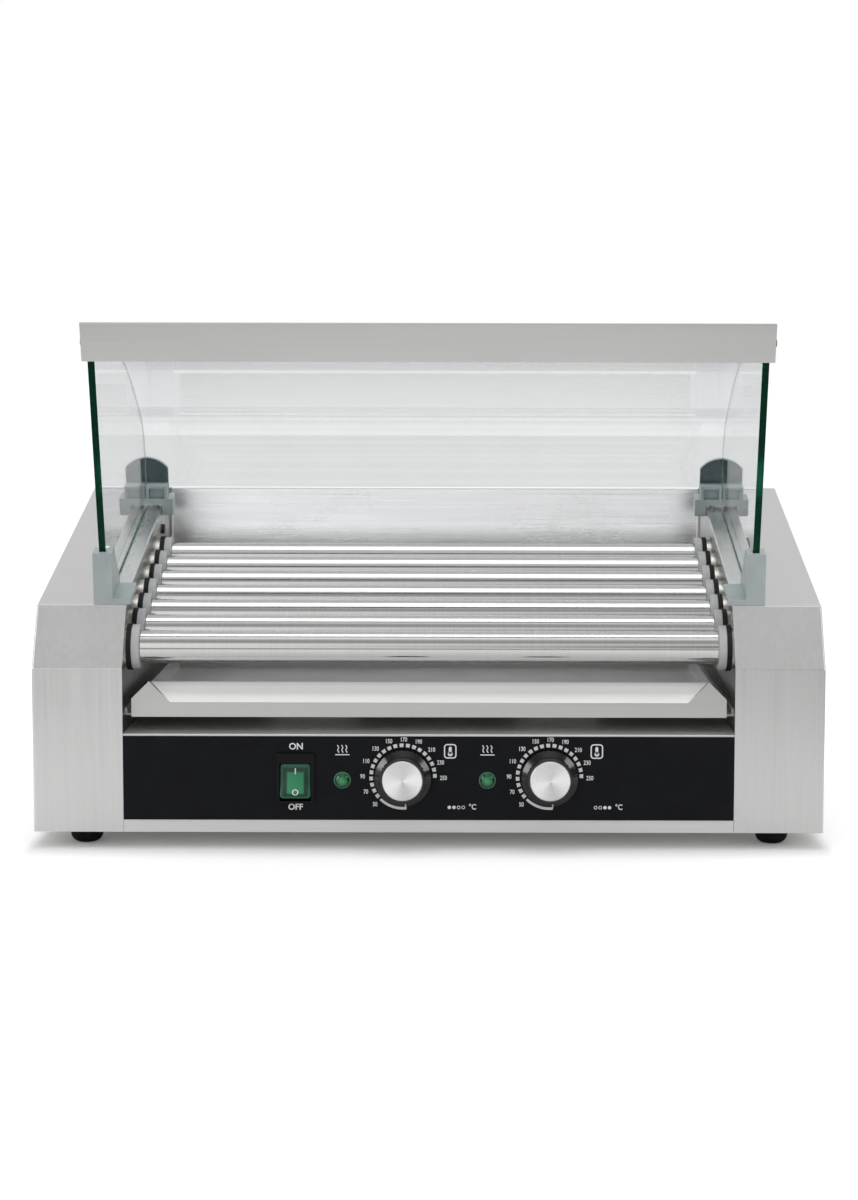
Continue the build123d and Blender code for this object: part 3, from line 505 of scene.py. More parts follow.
def spun_cap(name, centre):
    """Spun aluminium disc: fine rings, with light and dark sectors in its colour as a painted reflection of
    the turning.
    """
    finish = Finish(name).set(Metallic=1.0, Anisotropic=0.75)
    tree = finish.tree
    at = split_from(tree, finish.place, centre)
    # painted reflection: bright and dark sectors round the disc, fixed in its colour
    angle = combine(tree, "ARCTAN2", at["Z"], at["X"])
    painted_fan = combine(tree, "COSINE", combine(tree, "MULTIPLY", angle, 2.0))
    painted_ripple = combine(tree, "COSINE", combine(tree, "ADD", combine(tree, "MULTIPLY", angle, 3.0), 0.5))
    squares = [combine(tree, "POWER", at[axis], 2.0) for axis in "XZ"]
    reach = combine(tree, "SQRT", combine(tree, "ADD", *squares))
    rings = tree.nodes.new("ShaderNodeTexNoise")
    rings.noise_dimensions = "1D"
    rings.inputs["Scale"].default_value = 2200.0
    rings.inputs["Detail"].default_value = 3.0
    tree.links.new(reach, rings.inputs["W"])
    light = plus(tree, combine(tree, "MULTIPLY", painted_fan, PAINTED_FAN_SHARE), painted_ripple, PAINTED_RIPPLE_SHARE)
    light = plus(tree, light, rings.outputs["Fac"], RING_SHARE)
    greys = [(where, (level, level, level)) for where, level in CAP_GREYS]
    finish.wire(finish.tint(rise(tree, light, -0.38, 0.62), *greys), "Base Color")
    finish.wire(vary(tree, rings.outputs["Fac"], 0.22, 0.34), "Roughness")
    turn = tree.nodes.new("ShaderNodeTangent")
    turn.direction_type = "RADIAL"
    turn.axis = "Y"
    finish.wire(turn.outputs["Tangent"], "Tangent")
    finish.bump(rings.outputs["Fac"], strength=0.05, distance=0.2 * MM)
    return finish.material


# Plastics and rubber

SKIN_DEPTH = 0.2 * MM


def moulded(name, dark, light, rough, sheen_level, grain):
    """Moulded plastic or rubber with a fine skin."""
    finish = Finish(name).set(Specular_IOR_Level=sheen_level)
    skin = finish.effect(mould_tree)
    marks = finish.effect(touch_tree)
    finish.wire(finish.tint(skin["Flow"], (0.30, dark), (0.70, light)), "Base Color")
    flowing = vary(finish.tree, skin["Flow"], rough - 0.04, rough + 0.05)
    finish.wire(plus(finish.tree, flowing, marks["Smears"], 0.06), "Roughness")
    finish.bump(skin["Grain"], grain, SKIN_DEPTH)
    return finish.material


BLACK_DARK, BLACK_LIGHT = (0.003, 0.003, 0.0035), (0.006, 0.006, 0.007)
GREY_DARK, GREY_LIGHT = (0.36, 0.41, 0.42), (0.44, 0.49, 0.50)
# after the two colours come roughness, sheen and grain
overlay_black = moulded(
    "satin_black_overlay", (0.0040, 0.0045, 0.0065), (0.0070, 0.0078, 0.0105), 0.34, 0.10, 0.03)
knob_black = moulded("gloss_black_knob", BLACK_DARK, BLACK_LIGHT, 0.10, 0.45, 0.02)
switch_black = moulded("satin_black_switch", BLACK_DARK, BLACK_LIGHT, 0.36, 0.14, 0.10)
bracket_grey = moulded("grey_bracket_plastic", GREY_DARK, GREY_LIGHT, 0.36, 0.45, 0.05)
ring_grey = moulded("grey_ring_plastic", (0.46, 0.465, 0.46), (0.58, 0.585, 0.58), 0.42, 0.40, 0.08)
seal_black = moulded("black_seal_rubber", (0.006, 0.006, 0.006), (0.016, 0.016, 0.016), 0.62, 0.25, 0.25)
foot_black = moulded("black_foot_rubber", (0.004, 0.004, 0.004), (0.010, 0.010, 0.010), 0.70, 0.14, 0.30)
terminal_cream = moulded("cream_terminal_plastic", (0.62, 0.60, 0.54), (0.74, 0.72, 0.66), 0.48, 0.45, 0.12)
print_white = moulded("white_screen_print", (0.72, 0.73, 0.73), (0.86, 0.87, 0.87), 0.52, 0.30, 0.06)

# Rear saddles: the same grey, with painted shade, a dark blue-grey tone, on the top of the tab that backs
# the bent pane, on its faces that look front or back
SHADE_PAINT_HEIGHT, SHADE_PAINT_FADE = 21.0 * MM, 0.4 * MM
lift_axis = Vector(joints["hood_lift"]["axis"])
saddle = Finish("saddle_plastic_with_painted_shade").set(Specular_IOR_Level=0.4)
saddle_skin = saddle.effect(mould_tree)
height = vector_in(saddle.tree, "DOT_PRODUCT", saddle.place, lift_axis)["Value"]
tab_top = max(point.co.dot(lift_axis) for point in nodes["right_rear_saddle"].data.vertices)
shade_paint_foot = tab_top - SHADE_PAINT_HEIGHT
# painted shade: upright faces near the top of the tab take the dark tone
painted_shade_mask = combine(saddle.tree, "MULTIPLY", rise(saddle.tree, height, shade_paint_foot, shade_paint_foot + SHADE_PAINT_FADE),
              rise(saddle.tree, saddle.facing("Y"), 0.80, 0.90))
plain = saddle.tint(saddle_skin["Flow"], (0.30, GREY_DARK), (0.70, GREY_LIGHT))
painted_shade_tone = saddle.tint(saddle_skin["Flow"], (0.30, (0.048, 0.092, 0.100)), (0.70, (0.070, 0.124, 0.133)))
saddle.wire(saddle.blend(painted_shade_mask, plain, painted_shade_tone), "Base Color")
saddle.wire(vary(saddle.tree, saddle_skin["Flow"], 0.34, 0.44), "Roughness")
saddle.bump(saddle_skin["Grain"], 0.06, SKIN_DEPTH)

lens_green = Finish("green_lens").set(Specular_IOR_Level=0.6, Coat_Weight=0.6, Coat_Roughness=0.04)
lens_flow = lens_green.effect(mould_tree)["Flow"]
lens_tint = lens_green.tint(lens_flow, (0.3, (0.012, 0.13, 0.045)), (0.7, (0.025, 0.20, 0.075)))
lens_green.wire(lens_tint, "Base Color")
lens_green.wire(vary(lens_green.tree, lens_flow, 0.10, 0.18), "Roughness")


# Glass: clear faces, green along the ground edges

CLEAR, SMEARED = (0.83, 0.845, 0.85), (0.81, 0.825, 0.83)
EDGE_SHINE = (0.08, 0.50, 0.28)
EDGE_DARKER = 0.7
EDGE_ROUGH, SMEAR_ROUGH = 0.22, 0.012
THROUGH_TINT = (0.86, 0.88, 0.88, 1.0)


def plate_glass(name, edge_mask, edge_colour, shine):
    """A pane; edge_mask says whether its ground edges rise or fall with how squarely it faces along X."""
    finish = Finish(name).set(Transmission_Weight=1.0, IOR=1.5, Roughness=0.0)
    tree = finish.tree
    edge = edge_mask(tree, finish.facing("X"), 0.4, 0.6)
    ground = finish.effect(brush_tree, Scale=(300, 300, 300))
    smears = finish.effect(touch_tree)["Smears"]
    clear = finish.tint(smears, (0.0, CLEAR), (1.0, SMEARED))
    darker = tuple(EDGE_DARKER * level for level in edge_colour)
    deep = finish.tint(ground["Lines"], (0.35, darker), (0.65, edge_colour))
    finish.wire(finish.blend(edge, clear, deep), "Base Color")
    finish.wire(plus(tree, combine(tree, "MULTIPLY", edge, EDGE_ROUGH), smears, SMEAR_ROUGH), "Roughness")
    finish.wire(finish.blend(edge, (shine, shine, shine), EDGE_SHINE), "Specular Tint")
    # light for shadows and matt faces goes straight through
    path = tree.nodes.new("ShaderNodeLightPath")
    straight = combine(tree, "MAXIMUM", path.outputs["Is Shadow Ray"], path.outputs["Is Diffuse Ray"])
    through = tree.nodes.new("ShaderNodeBsdfTransparent")
    through.inputs["Color"].default_value = THROUGH_TINT
    whole = shaders_in(tree, straight, finish.shader, through)
    tree.links.new(whole.outputs["Shader"], tree.nodes["Material Output"].inputs["Surface"])
    return finish.material


side_glass = plate_glass("side_pane_glass", fall, (0.007, 0.11, 0.055), shine=1.0)
bent_glass = plate_glass("bent_pane_glass", rise, (0.25, 0.42, 0.36), shine=0.70)


# Finishes for the pieces that stay as they were built

finishes = {
    housing_steel: ["right_housing", "left_housing"],
    panel_steel: ["front_panel", "shield", "base_pan", "heater_bracket", "tray_runners"],
    back_steel: ["back_panel"],
    bar_steel: ["top_bar"],
    rail_steel: ["right_side_plate", "left_side_plate"],
    tray_steel: ["drip_tray"],
    roller.material: [f"roller_{k}" for k in ROLLERS],
    bush.material: ["roller_bushes"],
    ring_grey: ["end_rings"],
    seal_black: ["roller_seals"],
    chain_metal: [f"sprocket_{k}" for k in ROLLERS] + ["motor_sprocket", "roller_chain", "motor_chain"],
    motor_metal: ["gear_motor"],
    heater_metal: ["heating_rods"],
    thermostat_metal: ["front_thermostat", "back_thermostat", "front_spindle", "back_spindle"],
    overlay_black: ["control_overlay"],
    knob_black: ["front_knob", "back_knob"],
    switch_black: ["switch_box", "cable_gland"],
    lens_green.material: ["front_lamp", "back_lamp", "switch_rocker"],
    terminal_cream: ["terminal_block"],
    side_glass: ["right_pane", "left_pane"],
    bent_glass: ["back_pane"],
    screw_metal: ["bar_screws", "body_screws"],
    bracket_grey: ["right_front_post", "left_front_post"],
    saddle.material: ["right_rear_saddle", "left_rear_saddle"],
    foot_black: ["rubber_feet"],
}
for finish, names in finishes.items():
    for name in names:
        dress(nodes[name], finish)
for side in SIDES:
    dress(nodes[f"{side}_knob_cap"], spun_cap(f"{side}_spun_cap", middle(f"{side}_knob_cap")))

# Print on the control overlay: everything lies on its front face
face_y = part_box("control_overlay")[0].y
INK = 0.06 * MM


def lettering(words, size, x, z, weight=0.0, narrow=1.0):
    """A word or number in print, centred at x and z."""
    clear_selection()
    bpy.ops.object.text_add()
    text = active()
    text.data.body = words
    text.data.align_x = "CENTER"
    text.data.align_y = "CENTER"
    text.data.size = size
    text.data.offset = weight
    text.data.extrude = INK / 2
    text.data.resolution_u = 4
    bpy.ops.object.convert(target="MESH")
    text = active()
    text.scale = (narrow, 1, 1)
    text.rotation_euler = (pi / 2, 0, 0)
    text.location = (x, face_y - INK / 2, z)
    return set_down(text)


def card(width, height, corner, segments):
    """A flat card with round corners, left open for editing."""
    clear_selection()
    bpy.ops.mesh.primitive_plane_add(size=1)
    piece = active()
    piece.scale = (width, height, 1)
    set_down(piece)
    edit_all(piece)
    bpy.ops.mesh.bevel(offset=corner, segments=segments, affect="VERTICES")
    bpy.ops.mesh.select_all(action="SELECT")
    return piece


def thicken():
    """Give the flat print that is open for editing the thickness of the ink."""
    bpy.ops.mesh.select_all(action="SELECT")
    bpy.ops.mesh.extrude_region_move(TRANSFORM_OT_translate={"value": (0, 0, INK)})
    bpy.ops.object.mode_set(mode="OBJECT")


def lay_on(piece, x, z, turn=0.0):
    """Lay a print on the overlay, turned anticlockwise."""
    piece.matrix_world = moved(x, face_y, z) @ rotated(-turn, "Y") @ rotated(pi / 2, "X")
    set_down(piece)
    return clean(piece)


def stroke(width, height, x, z, turn=0.0, corner=0.5):
    """A printed bar, turned about its middle; corner is a share of its narrow side."""
    bar = card(width, height, corner * min(width, height), segments=3)
    thicken()
    return lay_on(bar, x, z, turn)


def outline(width, height, line, x, z, corner):
    """A printed frame with round corners."""
    rim = card(width, height, corner, segments=5)
    bpy.ops.mesh.inset(thickness=line, depth=0)
    bpy.ops.mesh.delete(type="FACE")
    thicken()
    return lay_on(rim, x, z)


def ring_part(inner, outer, start, sweep, steps, x, z):
    """A printed piece of a ring from the angle start, over sweep anticlockwise, both in degrees."""
    clear_selection()
    bpy.ops.mesh.primitive_plane_add(size=1)
    part = active()
    pick_points(part, lambda co: co.x < 0)
    bpy.ops.mesh.delete(type="VERT")
    bpy.ops.object.mode_set(mode="OBJECT")
    part.scale = (1, outer - inner, 1)
    part.location = (-0.5, (inner + outer) / 2, 0)
    set_down(part)
    edit_all(part)
    bpy.ops.mesh.spin(steps=steps, angle=radians(sweep), center=(0, 0, 0), axis=(0, 0, 1))
    thicken()
    points = [point.co for point in part.data.vertices]
    turned = atan2(sum(co.y for co in points), sum(co.x for co in points))
    return lay_on(part, x, z, radians(start + sweep / 2) - turned)


# Angles of the dials are in degrees, anticlockwise from the right
DIAL_START, DIAL_END = 225.0, -1.65
ARC_INNER, ARC_OUTER, ARC_SWEEP, ARC_STEPS = 22.4 * MM, 24.3 * MM, 51.3, 18
DASHES, DASH_SHARE, DASH_STEPS = 21, 0.62, 3
DASH_INNER, DASH_OUTER = 22.0 * MM, 24.7 * MM
NUMBERS, NUMBER_STEP = range(50, 251, 20), 22.67
NUMBER_SIZE, NUMBER_WEIGHT, NUMBER_NARROW = 4.5 * MM, 0.08 * MM, 0.78
NUMBER_REACH, NUMBER_MORE_AT_SIDES = 27.4 * MM, 2.2 * MM
ICON_X, ICON_Z = 34.6 * MM, 19.0 * MM
FRAME_W, FRAME_H, FRAME_LINE, FRAME_CORNER = 9.2 * MM, 10.8 * MM, 0.9 * MM, 2.4 * MM
STEM_W, STEM_H, STEM_UP = 2.2 * MM, 5.6 * MM, 0.6 * MM
BULB_W, BULB_H, BULB_DOWN = 3.6 * MM, 3.4 * MM, 2.0 * MM
DOTS, DOT_PITCH, DOT_SIZE, DOT_HOLE = 4, 3.4 * MM, 2.6 * MM, 1.7 * MM
DOTS_X, DOTS_DOWN = 34.0 * MM, 22.6 * MM
DOT_SWEEP, DOT_STEPS = 359.9, 24
UNIT_SIZE, UNIT_WEIGHT, UNIT_NARROW = 5.6 * MM, 0.10 * MM, 0.9
UNIT_X, UNIT_DOWN = 51.0 * MM, 22.4 * MM
WAVE_W, WAVE_H, WAVE_LEAN, WAVE_CORNER = 0.75 * MM, 2.4 * MM, radians(28), 0.45
WAVE_PITCH, WAVE_UP, WAVE_RISE = 3.0 * MM, 21.2 * MM, 1.75 * MM
PLATE_W, PLATE_H, PLATE_UP = 10.5 * MM, 0.75 * MM, 18.6 * MM
WORD_WEIGHT = 0.16 * MM
ON_SIZE, ON_X, ON_UP = 6.6 * MM, 0.6 * MM, 23.0 * MM
OFF_SIZE, OFF_DOWN = 6.2 * MM, 21.8 * MM

printed = []
for side in SIDES:
    dial = middle(f"{side}_knob")
    printed.append(ring_part(ARC_INNER, ARC_OUTER, DIAL_START, ARC_SWEEP, ARC_STEPS, dial.x, dial.z))
    pitch = (DIAL_START - DIAL_END) / (DASHES - 1)
    for k in range(1, DASHES):
        start = DIAL_START - k * pitch
        sweep = DASH_SHARE * pitch
        printed.append(ring_part(DASH_INNER, DASH_OUTER, start, sweep, DASH_STEPS, dial.x, dial.z))
    for k, number in enumerate(NUMBERS):
        angle = radians(DIAL_START - NUMBER_STEP * k)
        reach = NUMBER_REACH + NUMBER_MORE_AT_SIDES * abs(cos(angle))
        x = dial.x + reach * cos(angle)
        z = dial.z + reach * sin(angle)
        printed.append(lettering(str(number), NUMBER_SIZE, x, z, NUMBER_WEIGHT, NUMBER_NARROW))
    # thermometer in a round-cornered frame
    x = dial.x + ICON_X
    z = dial.z + ICON_Z
    printed.append(outline(FRAME_W, FRAME_H, FRAME_LINE, x, z, FRAME_CORNER))
    printed.append(stroke(STEM_W, STEM_H, x, z + STEM_UP))
    printed.append(stroke(BULB_W, BULB_H, x, z - BULB_DOWN))
    # which rollers the dial heats, and the unit
    z = dial.z - DOTS_DOWN
    for k in range(DOTS):
        x = dial.x + DOTS_X + k * DOT_PITCH
        filled = k < DOTS / 2 if side == "front" else k >= DOTS / 2
        if filled:
            printed.append(stroke(DOT_SIZE, DOT_SIZE, x, z))
        else:
            printed.append(ring_part(DOT_HOLE / 2, DOT_SIZE / 2, 0, DOT_SWEEP, DOT_STEPS, x, z))
    x = dial.x + UNIT_X
    z = dial.z - UNIT_DOWN
    printed.append(lettering("°C", UNIT_SIZE, x, z, UNIT_WEIGHT, UNIT_NARROW))
    # rising heat over the lamp
    lamp = middle(f"{side}_lamp")
    for k in (-1, 0, 1):
        for j, lean in enumerate((1, -1, 1)):
            x = lamp.x + k * WAVE_PITCH
            z = lamp.z + WAVE_UP + WAVE_RISE * j
            printed.append(stroke(WAVE_W, WAVE_H, x, z, lean * WAVE_LEAN, WAVE_CORNER))
    printed.append(stroke(PLATE_W, PLATE_H, lamp.x, lamp.z + PLATE_UP, corner=WAVE_CORNER))
switch = middle("switch_box")
printed.append(lettering("ON", ON_SIZE, switch.x + ON_X, switch.z + ON_UP, WORD_WEIGHT))
printed.append(lettering("OFF", OFF_SIZE, switch.x, switch.z - OFF_DOWN, WORD_WEIGHT))
panel_print = join_all(printed, "panel_print")
carry(panel_print, "chassis", print_white)

# Pilot lamp lenses: domes over the lamp bodies, each inside its flange
LENS_RADIUS, LENS_RISE, LENS_FOOT = 5.8 * MM, 4.2 * MM, 1.3 * MM
GLOW_OUT, GLOW_INNER, GLOW_OUTER, GLOW_WAVER = 5.0 * MM, 1.5 * MM, 6.8 * MM, 1.0 * MM
for side in SIDES:
    lamp = middle(f"{side}_lamp")
    clear_selection()
    bpy.ops.mesh.primitive_uv_sphere_add(segments=40, ring_count=20, radius=LENS_RADIUS)
    lens = active()
    edit_all(lens)
    bpy.ops.mesh.bisect(plane_co=(0, 0, 0), plane_no=(0, 1, 0), clear_outer=True, use_fill=True)
    bpy.ops.object.mode_set(mode="OBJECT")
    lens.scale = (1, LENS_RISE / LENS_RADIUS, 1)
    lens.location = (lamp.x, face_y - LENS_FOOT, lamp.z)
    set_down(lens)
    clean(lens)
    bpy.ops.object.shade_smooth_by_angle(angle=radians(40))
    lens.name = f"{side}_lens"
    core = Finish(f"{side}_lens_green").set(Specular_IOR_Level=0.5, Coat_Weight=0.25, Coat_Roughness=0.03)
    # painted light in the lens colour: a bright core for the lamp's glow, a darker ring of painted shade and
    # a paler outer ring of painted reflection
    painted_glow_centre = (lamp.x, face_y - GLOW_OUT, lamp.z)
    away = vector_in(core.tree, "DISTANCE", core.place, painted_glow_centre)["Value"]
    flow = core.effect(mould_tree)["Flow"]
    depth = rise(core.tree, plus(core.tree, away, flow, GLOW_WAVER), GLOW_INNER, GLOW_OUTER)
    painted_lens_greens = core.tint(depth, (0.0, (0.030, 0.29, 0.10)), (0.45, (0.008, 0.13, 0.04)),
                       (0.75, (0.002, 0.035, 0.012)), (1.0, (0.05, 0.24, 0.12)))
    core.wire(painted_lens_greens, "Base Color")
    core.wire(vary(core.tree, flow, 0.08, 0.14), "Roughness")
    carry(lens, "chassis", core.material)

# Rocker: dished green key with rounded corners, a window of painted glow, a border of painted light and its
# two marks
TILT = radians(10.0)
KEY_W, KEY_H, KEY_RISE, KEY_DISH = 22.2 * MM, 25.2 * MM, 5.35 * MM, 1.8 * MM
KEY_CORNER, KEY_EDGE = 2.2 * MM, 0.5 * MM
KEY_STEPS = 5
NEAR = 1e-5
pivot = Vector(joints["rocker_tip"]["pos_m"])
tip = moved(*pivot) @ rotated(-TILT, "X")

clear_selection()
bpy.ops.mesh.primitive_cube_add(size=1)
key = active()
key.scale = (KEY_W, KEY_RISE, KEY_H)
key.location = (0, -KEY_RISE / 2, 0)
set_down(key)
bpy.ops.object.mode_set(mode="EDIT")
for step in range(1 - KEY_STEPS, KEY_STEPS):
    bpy.ops.mesh.select_all(action="SELECT")
    bpy.ops.mesh.bisect(plane_co=(0, 0, step * KEY_H / (2 * KEY_STEPS)), plane_no=(0, 0, 1))
bpy.ops.object.mode_set(mode="OBJECT")
for step in range(1 - KEY_STEPS, KEY_STEPS):
    level = step * KEY_H / (2 * KEY_STEPS)
    pick_points(key, lambda co: abs(co.z - level) < NEAR and co.y < -KEY_RISE / 2)
    bpy.ops.transform.translate(value=(0, KEY_DISH * (1 - (step / KEY_STEPS) ** 2), 0))
    bpy.ops.object.mode_set(mode="OBJECT")
# round the four edges that run from front to back
take(key)
bpy.ops.object.mode_set(mode="EDIT")
bpy.ops.mesh.select_mode(type="EDGE")
bpy.ops.mesh.select_all(action="DESELECT")
bpy.ops.object.mode_set(mode="OBJECT")
for edge in key.data.edges:
    first, second = (key.data.vertices[i].co for i in edge.vertices)
    edge.select = abs(first.y - second.y) > 2.0 * MM and abs(first.z) > 0.49 * KEY_H
bpy.ops.object.mode_set(mode="EDIT")
bpy.ops.mesh.bevel(offset=KEY_CORNER, segments=5, affect="EDGES")
bpy.ops.object.mode_set(mode="OBJECT")
soften(key, KEY_EDGE, segments=3, angle=50)
key.matrix_world = tip
set_down(key)
key.name = "rocker_key"

# Each pair is where a border starts and ends, counted from the middle of the key
WINDOW_X, WINDOW_Z, WINDOW_DOWN = (5.5 * MM, 6.8 * MM), (7.0 * MM, 8.4 * MM), 0.6 * MM
RIM_X, RIM_Z = (8.5 * MM, 10.2 * MM), (10.0 * MM, 11.6 * MM)
RIM_PAINTED_LIGHT = (0.022, 0.125, 0.075)
green = Finish("lit_green_rocker").set(Specular_IOR_Level=0.30, Coat_Weight=0.15, Coat_Roughness=0.12)
tree = green.tree
at = split_from(tree, green.place, pivot)
out_x = combine(tree, "ABSOLUTE", at["X"])
out_z = combine(tree, "ABSOLUTE", at["Z"])
# painted light: the window is bright green for the glow inside the key, and the border is a lighter green
# for light along its edge
window_z = combine(tree, "ABSOLUTE", combine(tree, "ADD", at["Z"], WINDOW_DOWN))
window = combine(tree, "MULTIPLY", fall(tree, out_x, *WINDOW_X), fall(tree, window_z, *WINDOW_Z))
rim = combine(tree, "MAXIMUM", rise(tree, out_x, *RIM_X), rise(tree, out_z, *RIM_Z))
skin = green.effect(mould_tree)
deep = green.tint(skin["Flow"], (0.3, (0.002, 0.036, 0.018)), (0.7, (0.004, 0.050, 0.026)))
lit = green.tint(skin["Flow"], (0.3, (0.022, 0.22, 0.098)), (0.7, (0.036, 0.27, 0.129)))
green.wire(green.blend(window, green.blend(rim, deep, RIM_PAINTED_LIGHT), lit), "Base Color")
green.wire(vary(tree, skin["Flow"], 0.24, 0.34), "Roughness")
green.bump(skin["Grain"], 0.04, SKIN_DEPTH)
carry(key, "rocker_body", green.material)
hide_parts("switch_rocker")


def on_key(z):
    """Place on the dished face of the key at the height z, before it is tipped."""
    return moved(0, KEY_DISH * (1 - (2 * z / KEY_H) ** 2) - KEY_RISE, z)


ON_MARK_UP, OFF_MARK_DOWN, MARK_LEAN = 7.4 * MM, 8.3 * MM, radians(6)
on_mark = block(width=0.95 * MM, depth=0.4 * MM, height=4.6 * MM, rounding=0.15 * MM)
on_mark.matrix_world = tip @ on_key(ON_MARK_UP) @ rotated(MARK_LEAN, "X")
set_down(on_mark)
clear_selection()
bpy.ops.mesh.primitive_torus_add(
    major_radius=1.95 * MM, minor_radius=0.45 * MM, major_segments=40, minor_segments=10)
off_mark = active()
flatten = Matrix.Diagonal((1, 1, 0.6, 1))
off_mark.matrix_world = tip @ on_key(-OFF_MARK_DOWN) @ rotated(pi / 2 - MARK_LEAN, "X") @ flatten
set_down(off_mark)
bpy.ops.object.shade_smooth_by_angle(angle=radians(60))
rocker_marks = join_all([on_mark, off_mark], "rocker_marks")
carry(rocker_marks, "rocker_body", print_white)

# Knobs: a white pointer down the skirt and ribs round the grip
POINTER_TURN, POINTER_SLANT = radians(-6.3), atan2(3.0, 4.0)
POINTER_OUT, POINTER_REACH = 9.2 * MM, 18.6 * MM
RIBS, RIB_OUT, RIB_REACH = 36, 4.4 * MM, 16.7 * MM
for side in SIDES:
    low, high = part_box(f"{side}_knob")
    hub = (low + high) / 2
    pointer = block(width=0.9 * MM, depth=0.5 * MM, height=4.6 * MM, rounding=0.12 * MM)
    on_skirt = moved(0, high.y - POINTER_OUT, -POINTER_REACH) @ rotated(-POINTER_SLANT, "X")
    pointer.matrix_world = moved(hub.x, 0, hub.z) @ rotated(POINTER_TURN, "Y") @ on_skirt
    set_down(pointer)
    pointer.name = f"{side}_pointer"
    carry(pointer, f"{side}_knob_body", print_white)

    rib = block(width=1.1 * MM, depth=6.0 * MM, height=0.9 * MM, rounding=0.3 * MM)
    ribs = []
    for k in range(RIBS):
        one = copy_of(rib)
        round_hub = moved(hub.x, low.y + RIB_OUT, hub.z) @ rotated(2 * pi * k / RIBS, "Y")
        one.matrix_world = round_hub @ moved(0, 0, RIB_REACH)
        ribs.append(set_down(one))
    bpy.data.objects.remove(rib)
    grip = join_all(ribs, f"{side}_grip_ribs")
    carry(grip, f"{side}_knob_body", knob_black)

# Floor, light and camera
clear_selection()
bpy.ops.mesh.primitive_plane_add(size=60)
floor = active()
floor.name = "studio_floor"
paper = bpy.data.materials.new("pale_floor")
paper.use_nodes = True
tree = paper.node_tree
tree.nodes.clear()
surface = tree.nodes.new("ShaderNodeOutputMaterial")
matt = tree.nodes.new("ShaderNodeBsdfDiffuse")
matt.inputs["Color"].default_value = (0.86, 0.86, 0.86, 1)
glow = tree.nodes.new("ShaderNodeEmission")
path = tree.nodes.new("ShaderNodeLightPath")
place = tree.nodes.new("ShaderNodeTexCoord").outputs["Object"]
# how far a place lies outside the body's outline; beside the body it counts five times
BESIDE, IN_FRONT = 5, 1
foot_low, foot_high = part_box("left_housing")[0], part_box("right_housing")[1]
outside = (
    ("SUBTRACT", (foot_low + foot_high) / 2),
    ("ABSOLUTE", None),
    ("SUBTRACT", (foot_high - foot_low) / 2),
    ("MAXIMUM", (0, 0, 0)),
    ("MULTIPLY", (BESIDE, IN_FRONT, 0)),
)
past = place
for kind, value in outside:
    past = vector_in(tree, kind, past, value)["Vector"]
away = vector_in(tree, "LENGTH", past)["Value"]
# the paper glows white, less so over the first 40 mm from the body, which paints a shadow there over the
# cast one
SHADOW, FAR = 40 * MM, 1.0
GLOW_AT_BODY, GLOW_PAST_SHADOW, GLOW_MORE_FAR = 0.09, 0.34, 0.05
GLOW_IN_GLASS = 0.52
white = combine(tree, "ADD", spread(tree, away, 0.0, SHADOW, GLOW_AT_BODY, GLOW_PAST_SHADOW),
                spread(tree, away, SHADOW, FAR, 0.0, GLOW_MORE_FAR))
# in reflections the glow is also weaker within 0.6 m of the body, a painted shade
in_metal = combine(tree, "MULTIPLY", mirrored(tree, path), spread(tree, away, 0.0, 0.6, 0.25, 0.95))
in_glass = combine(tree, "MULTIPLY", path.outputs["Is Transmission Ray"], GLOW_IN_GLASS)
seen = combine(tree, "MAXIMUM", path.outputs["Is Camera Ray"], combine(tree, "MAXIMUM", in_metal, in_glass))
tree.links.new(combine(tree, "MULTIPLY", seen, white), glow.inputs["Strength"])
both = tree.nodes.new("ShaderNodeAddShader")
tree.links.new(matt.outputs[0], both.inputs[0])
tree.links.new(glow.outputs[0], both.inputs[1])
# in reflections the floor has a dim strip round it, which draws the grey line along polished metal
room = tree.nodes.new("ShaderNodeEmission")
room.inputs["Strength"].default_value = 0.34
reach = vector_in(tree, "LENGTH", place)["Value"]
strip = combine(tree, "MULTIPLY", rise(tree, reach, 0.65, 0.95), fall(tree, reach, 1.8, 2.2))
whole = shaders_in(tree, combine(tree, "MULTIPLY", mirrored(tree, path), strip), both, room)
tree.links.new(whole.outputs[0], surface.inputs["Surface"])
floor.data.materials.append(paper)

world = bpy.data.worlds.new("studio")
bpy.context.scene.world = world
world.use_nodes = True
tree = world.node_tree
tree.nodes.clear()
surface = tree.nodes.new("ShaderNodeOutputWorld")
ambient = tree.nodes.new("ShaderNodeBackground")
ambient.inputs["Strength"].default_value = 0.98
backdrop = tree.nodes.new("ShaderNodeBackground")
path = tree.nodes.new("ShaderNodeLightPath")
through_glass = path.outputs["Is Transmission Ray"]
towards = split_in(tree, tree.nodes.new("ShaderNodeTexCoord").outputs["Generated"])


def sky_levels(*stops):
    """Brightness of the studio by height; each stop is the sine of an elevation and a level."""
    return ramp_in(tree, towards["Z"], [(where, (level, level, level)) for where, level in stops])


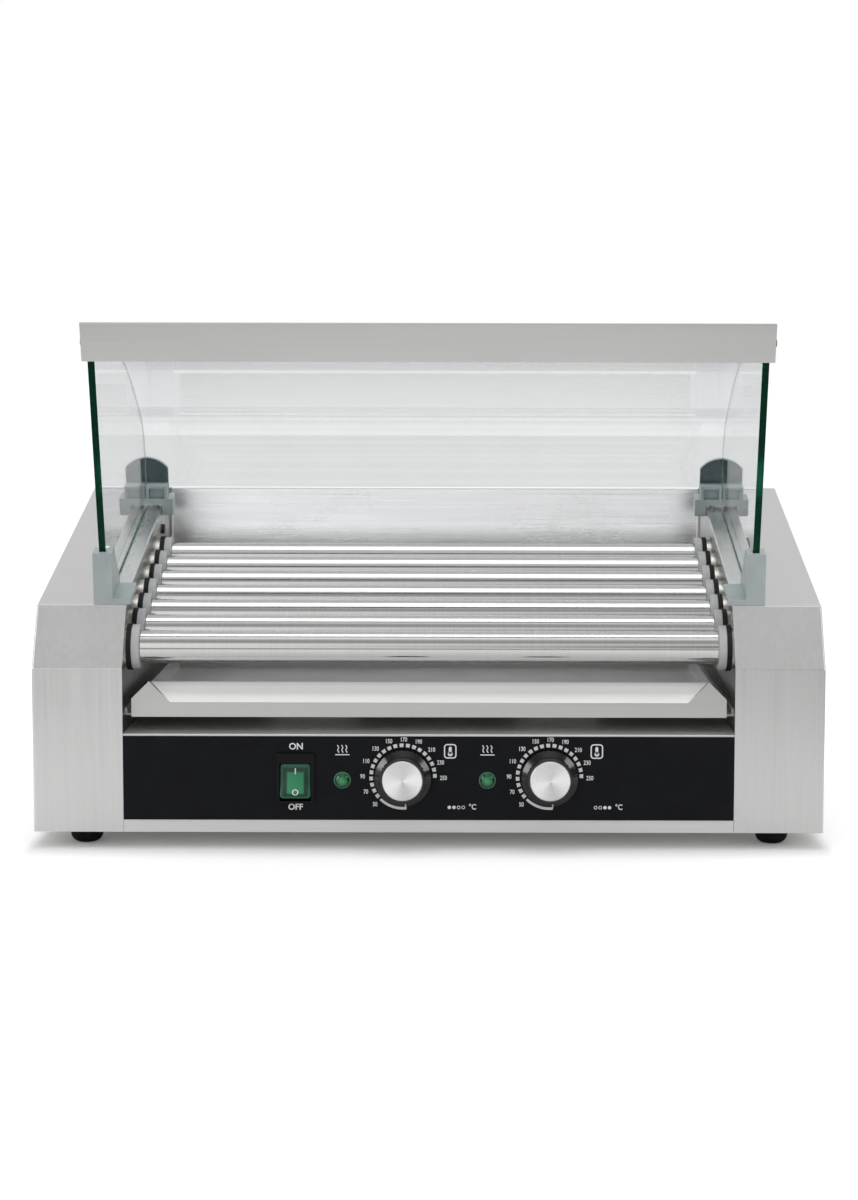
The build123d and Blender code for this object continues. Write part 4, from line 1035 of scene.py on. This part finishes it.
# the lamps in front leave a dim line half way up, and the room is darker to the right
UPPER_SKY = ((0.56, 0.46), (0.78, 0.46), (0.88, 0.85), (0.95, 1.30))
left_sky = sky_levels((0.0, 1.20), (0.20, 1.20), (0.46, 1.15), *UPPER_SKY)
right_sky = sky_levels((0.0, 0.22), (0.26, 0.30), (0.46, 0.90), *UPPER_SKY)
back_sky = sky_levels((0.0, 1.0), (0.20, 0.82), (0.75, 0.82), (1.0, 1.30))
front_sky = mix_in(tree, rise(tree, towards["X"], -0.12, 0.12), left_sky, right_sky)
sky = mix_in(tree, rise(tree, towards["Y"], -0.3, 0.3), front_sky, back_sky)
tree.links.new(mix_in(tree, mirrored(tree, path), (1, 1, 1), sky), backdrop.inputs["Color"])
# above the horizon the room is a little dimmer through glass,
# so that the bend of the pane draws no bright band
GLASS_DIM = 0.09
dim = combine(tree, "MULTIPLY", through_glass, spread(tree, towards["Z"], 0.005, 0.02, 0.0, GLASS_DIM))
tree.links.new(fall(tree, dim, 0.0, 1.0), backdrop.inputs["Strength"])
seen = combine(tree, "MAXIMUM", path.outputs["Is Camera Ray"], path.outputs["Is Glossy Ray"])
seen = combine(tree, "MAXIMUM", seen, through_glass)
whole = shaders_in(tree, seen, ambient, backdrop)
tree.links.new(whole.outputs[0], surface.inputs["Surface"])

LAMP_AIM = Vector((0, 0, 0.1))


def softbox(name, place, size, power, in_metal=True, on_matt=True):
    """A lamp with a square-cornered face, turned towards the body."""
    clear_selection()
    bpy.ops.object.light_add(type="AREA", location=place)
    lamp = active()
    lamp.name = name
    lamp.data.shape = "RECTANGLE"
    lamp.data.size, lamp.data.size_y = size
    lamp.data.energy = power
    lamp.rotation_euler = (LAMP_AIM - Vector(place)).to_track_quat("-Z", "Y").to_euler()
    lamp.visible_camera = False
    lamp.visible_glossy = in_metal
    lamp.visible_diffuse = on_matt


softbox("left_strip", (-1.36, -0.72, 0.69), size=(0.26, 0.95), power=5.2, on_matt=False)
softbox("right_strip", (1.33, -0.72, 0.75), size=(0.24, 0.90), power=3.6, on_matt=False)
softbox("top_softbox", (0.0, -0.1, 1.7), size=(1.4, 0.9), power=7.5, in_metal=False)

EYE_PLACE = (0.02986, -1.96557, 0.35983)
EYE_TILT, EYE_ROLL = radians(84.445), radians(0.1216)
eye = bpy.data.cameras.new("camera")
eye.lens = 75.048
eye.sensor_width = 36.0
eye.shift_x = -0.03398
camera = bpy.data.objects.new("camera", eye)
bpy.context.scene.collection.objects.link(camera)
camera.matrix_world = moved(*EYE_PLACE) @ rotated(EYE_TILT, "X") @ rotated(EYE_ROLL, "Z")
bpy.context.scene.camera = camera
bpy.context.scene.view_settings.view_transform = "Standard"
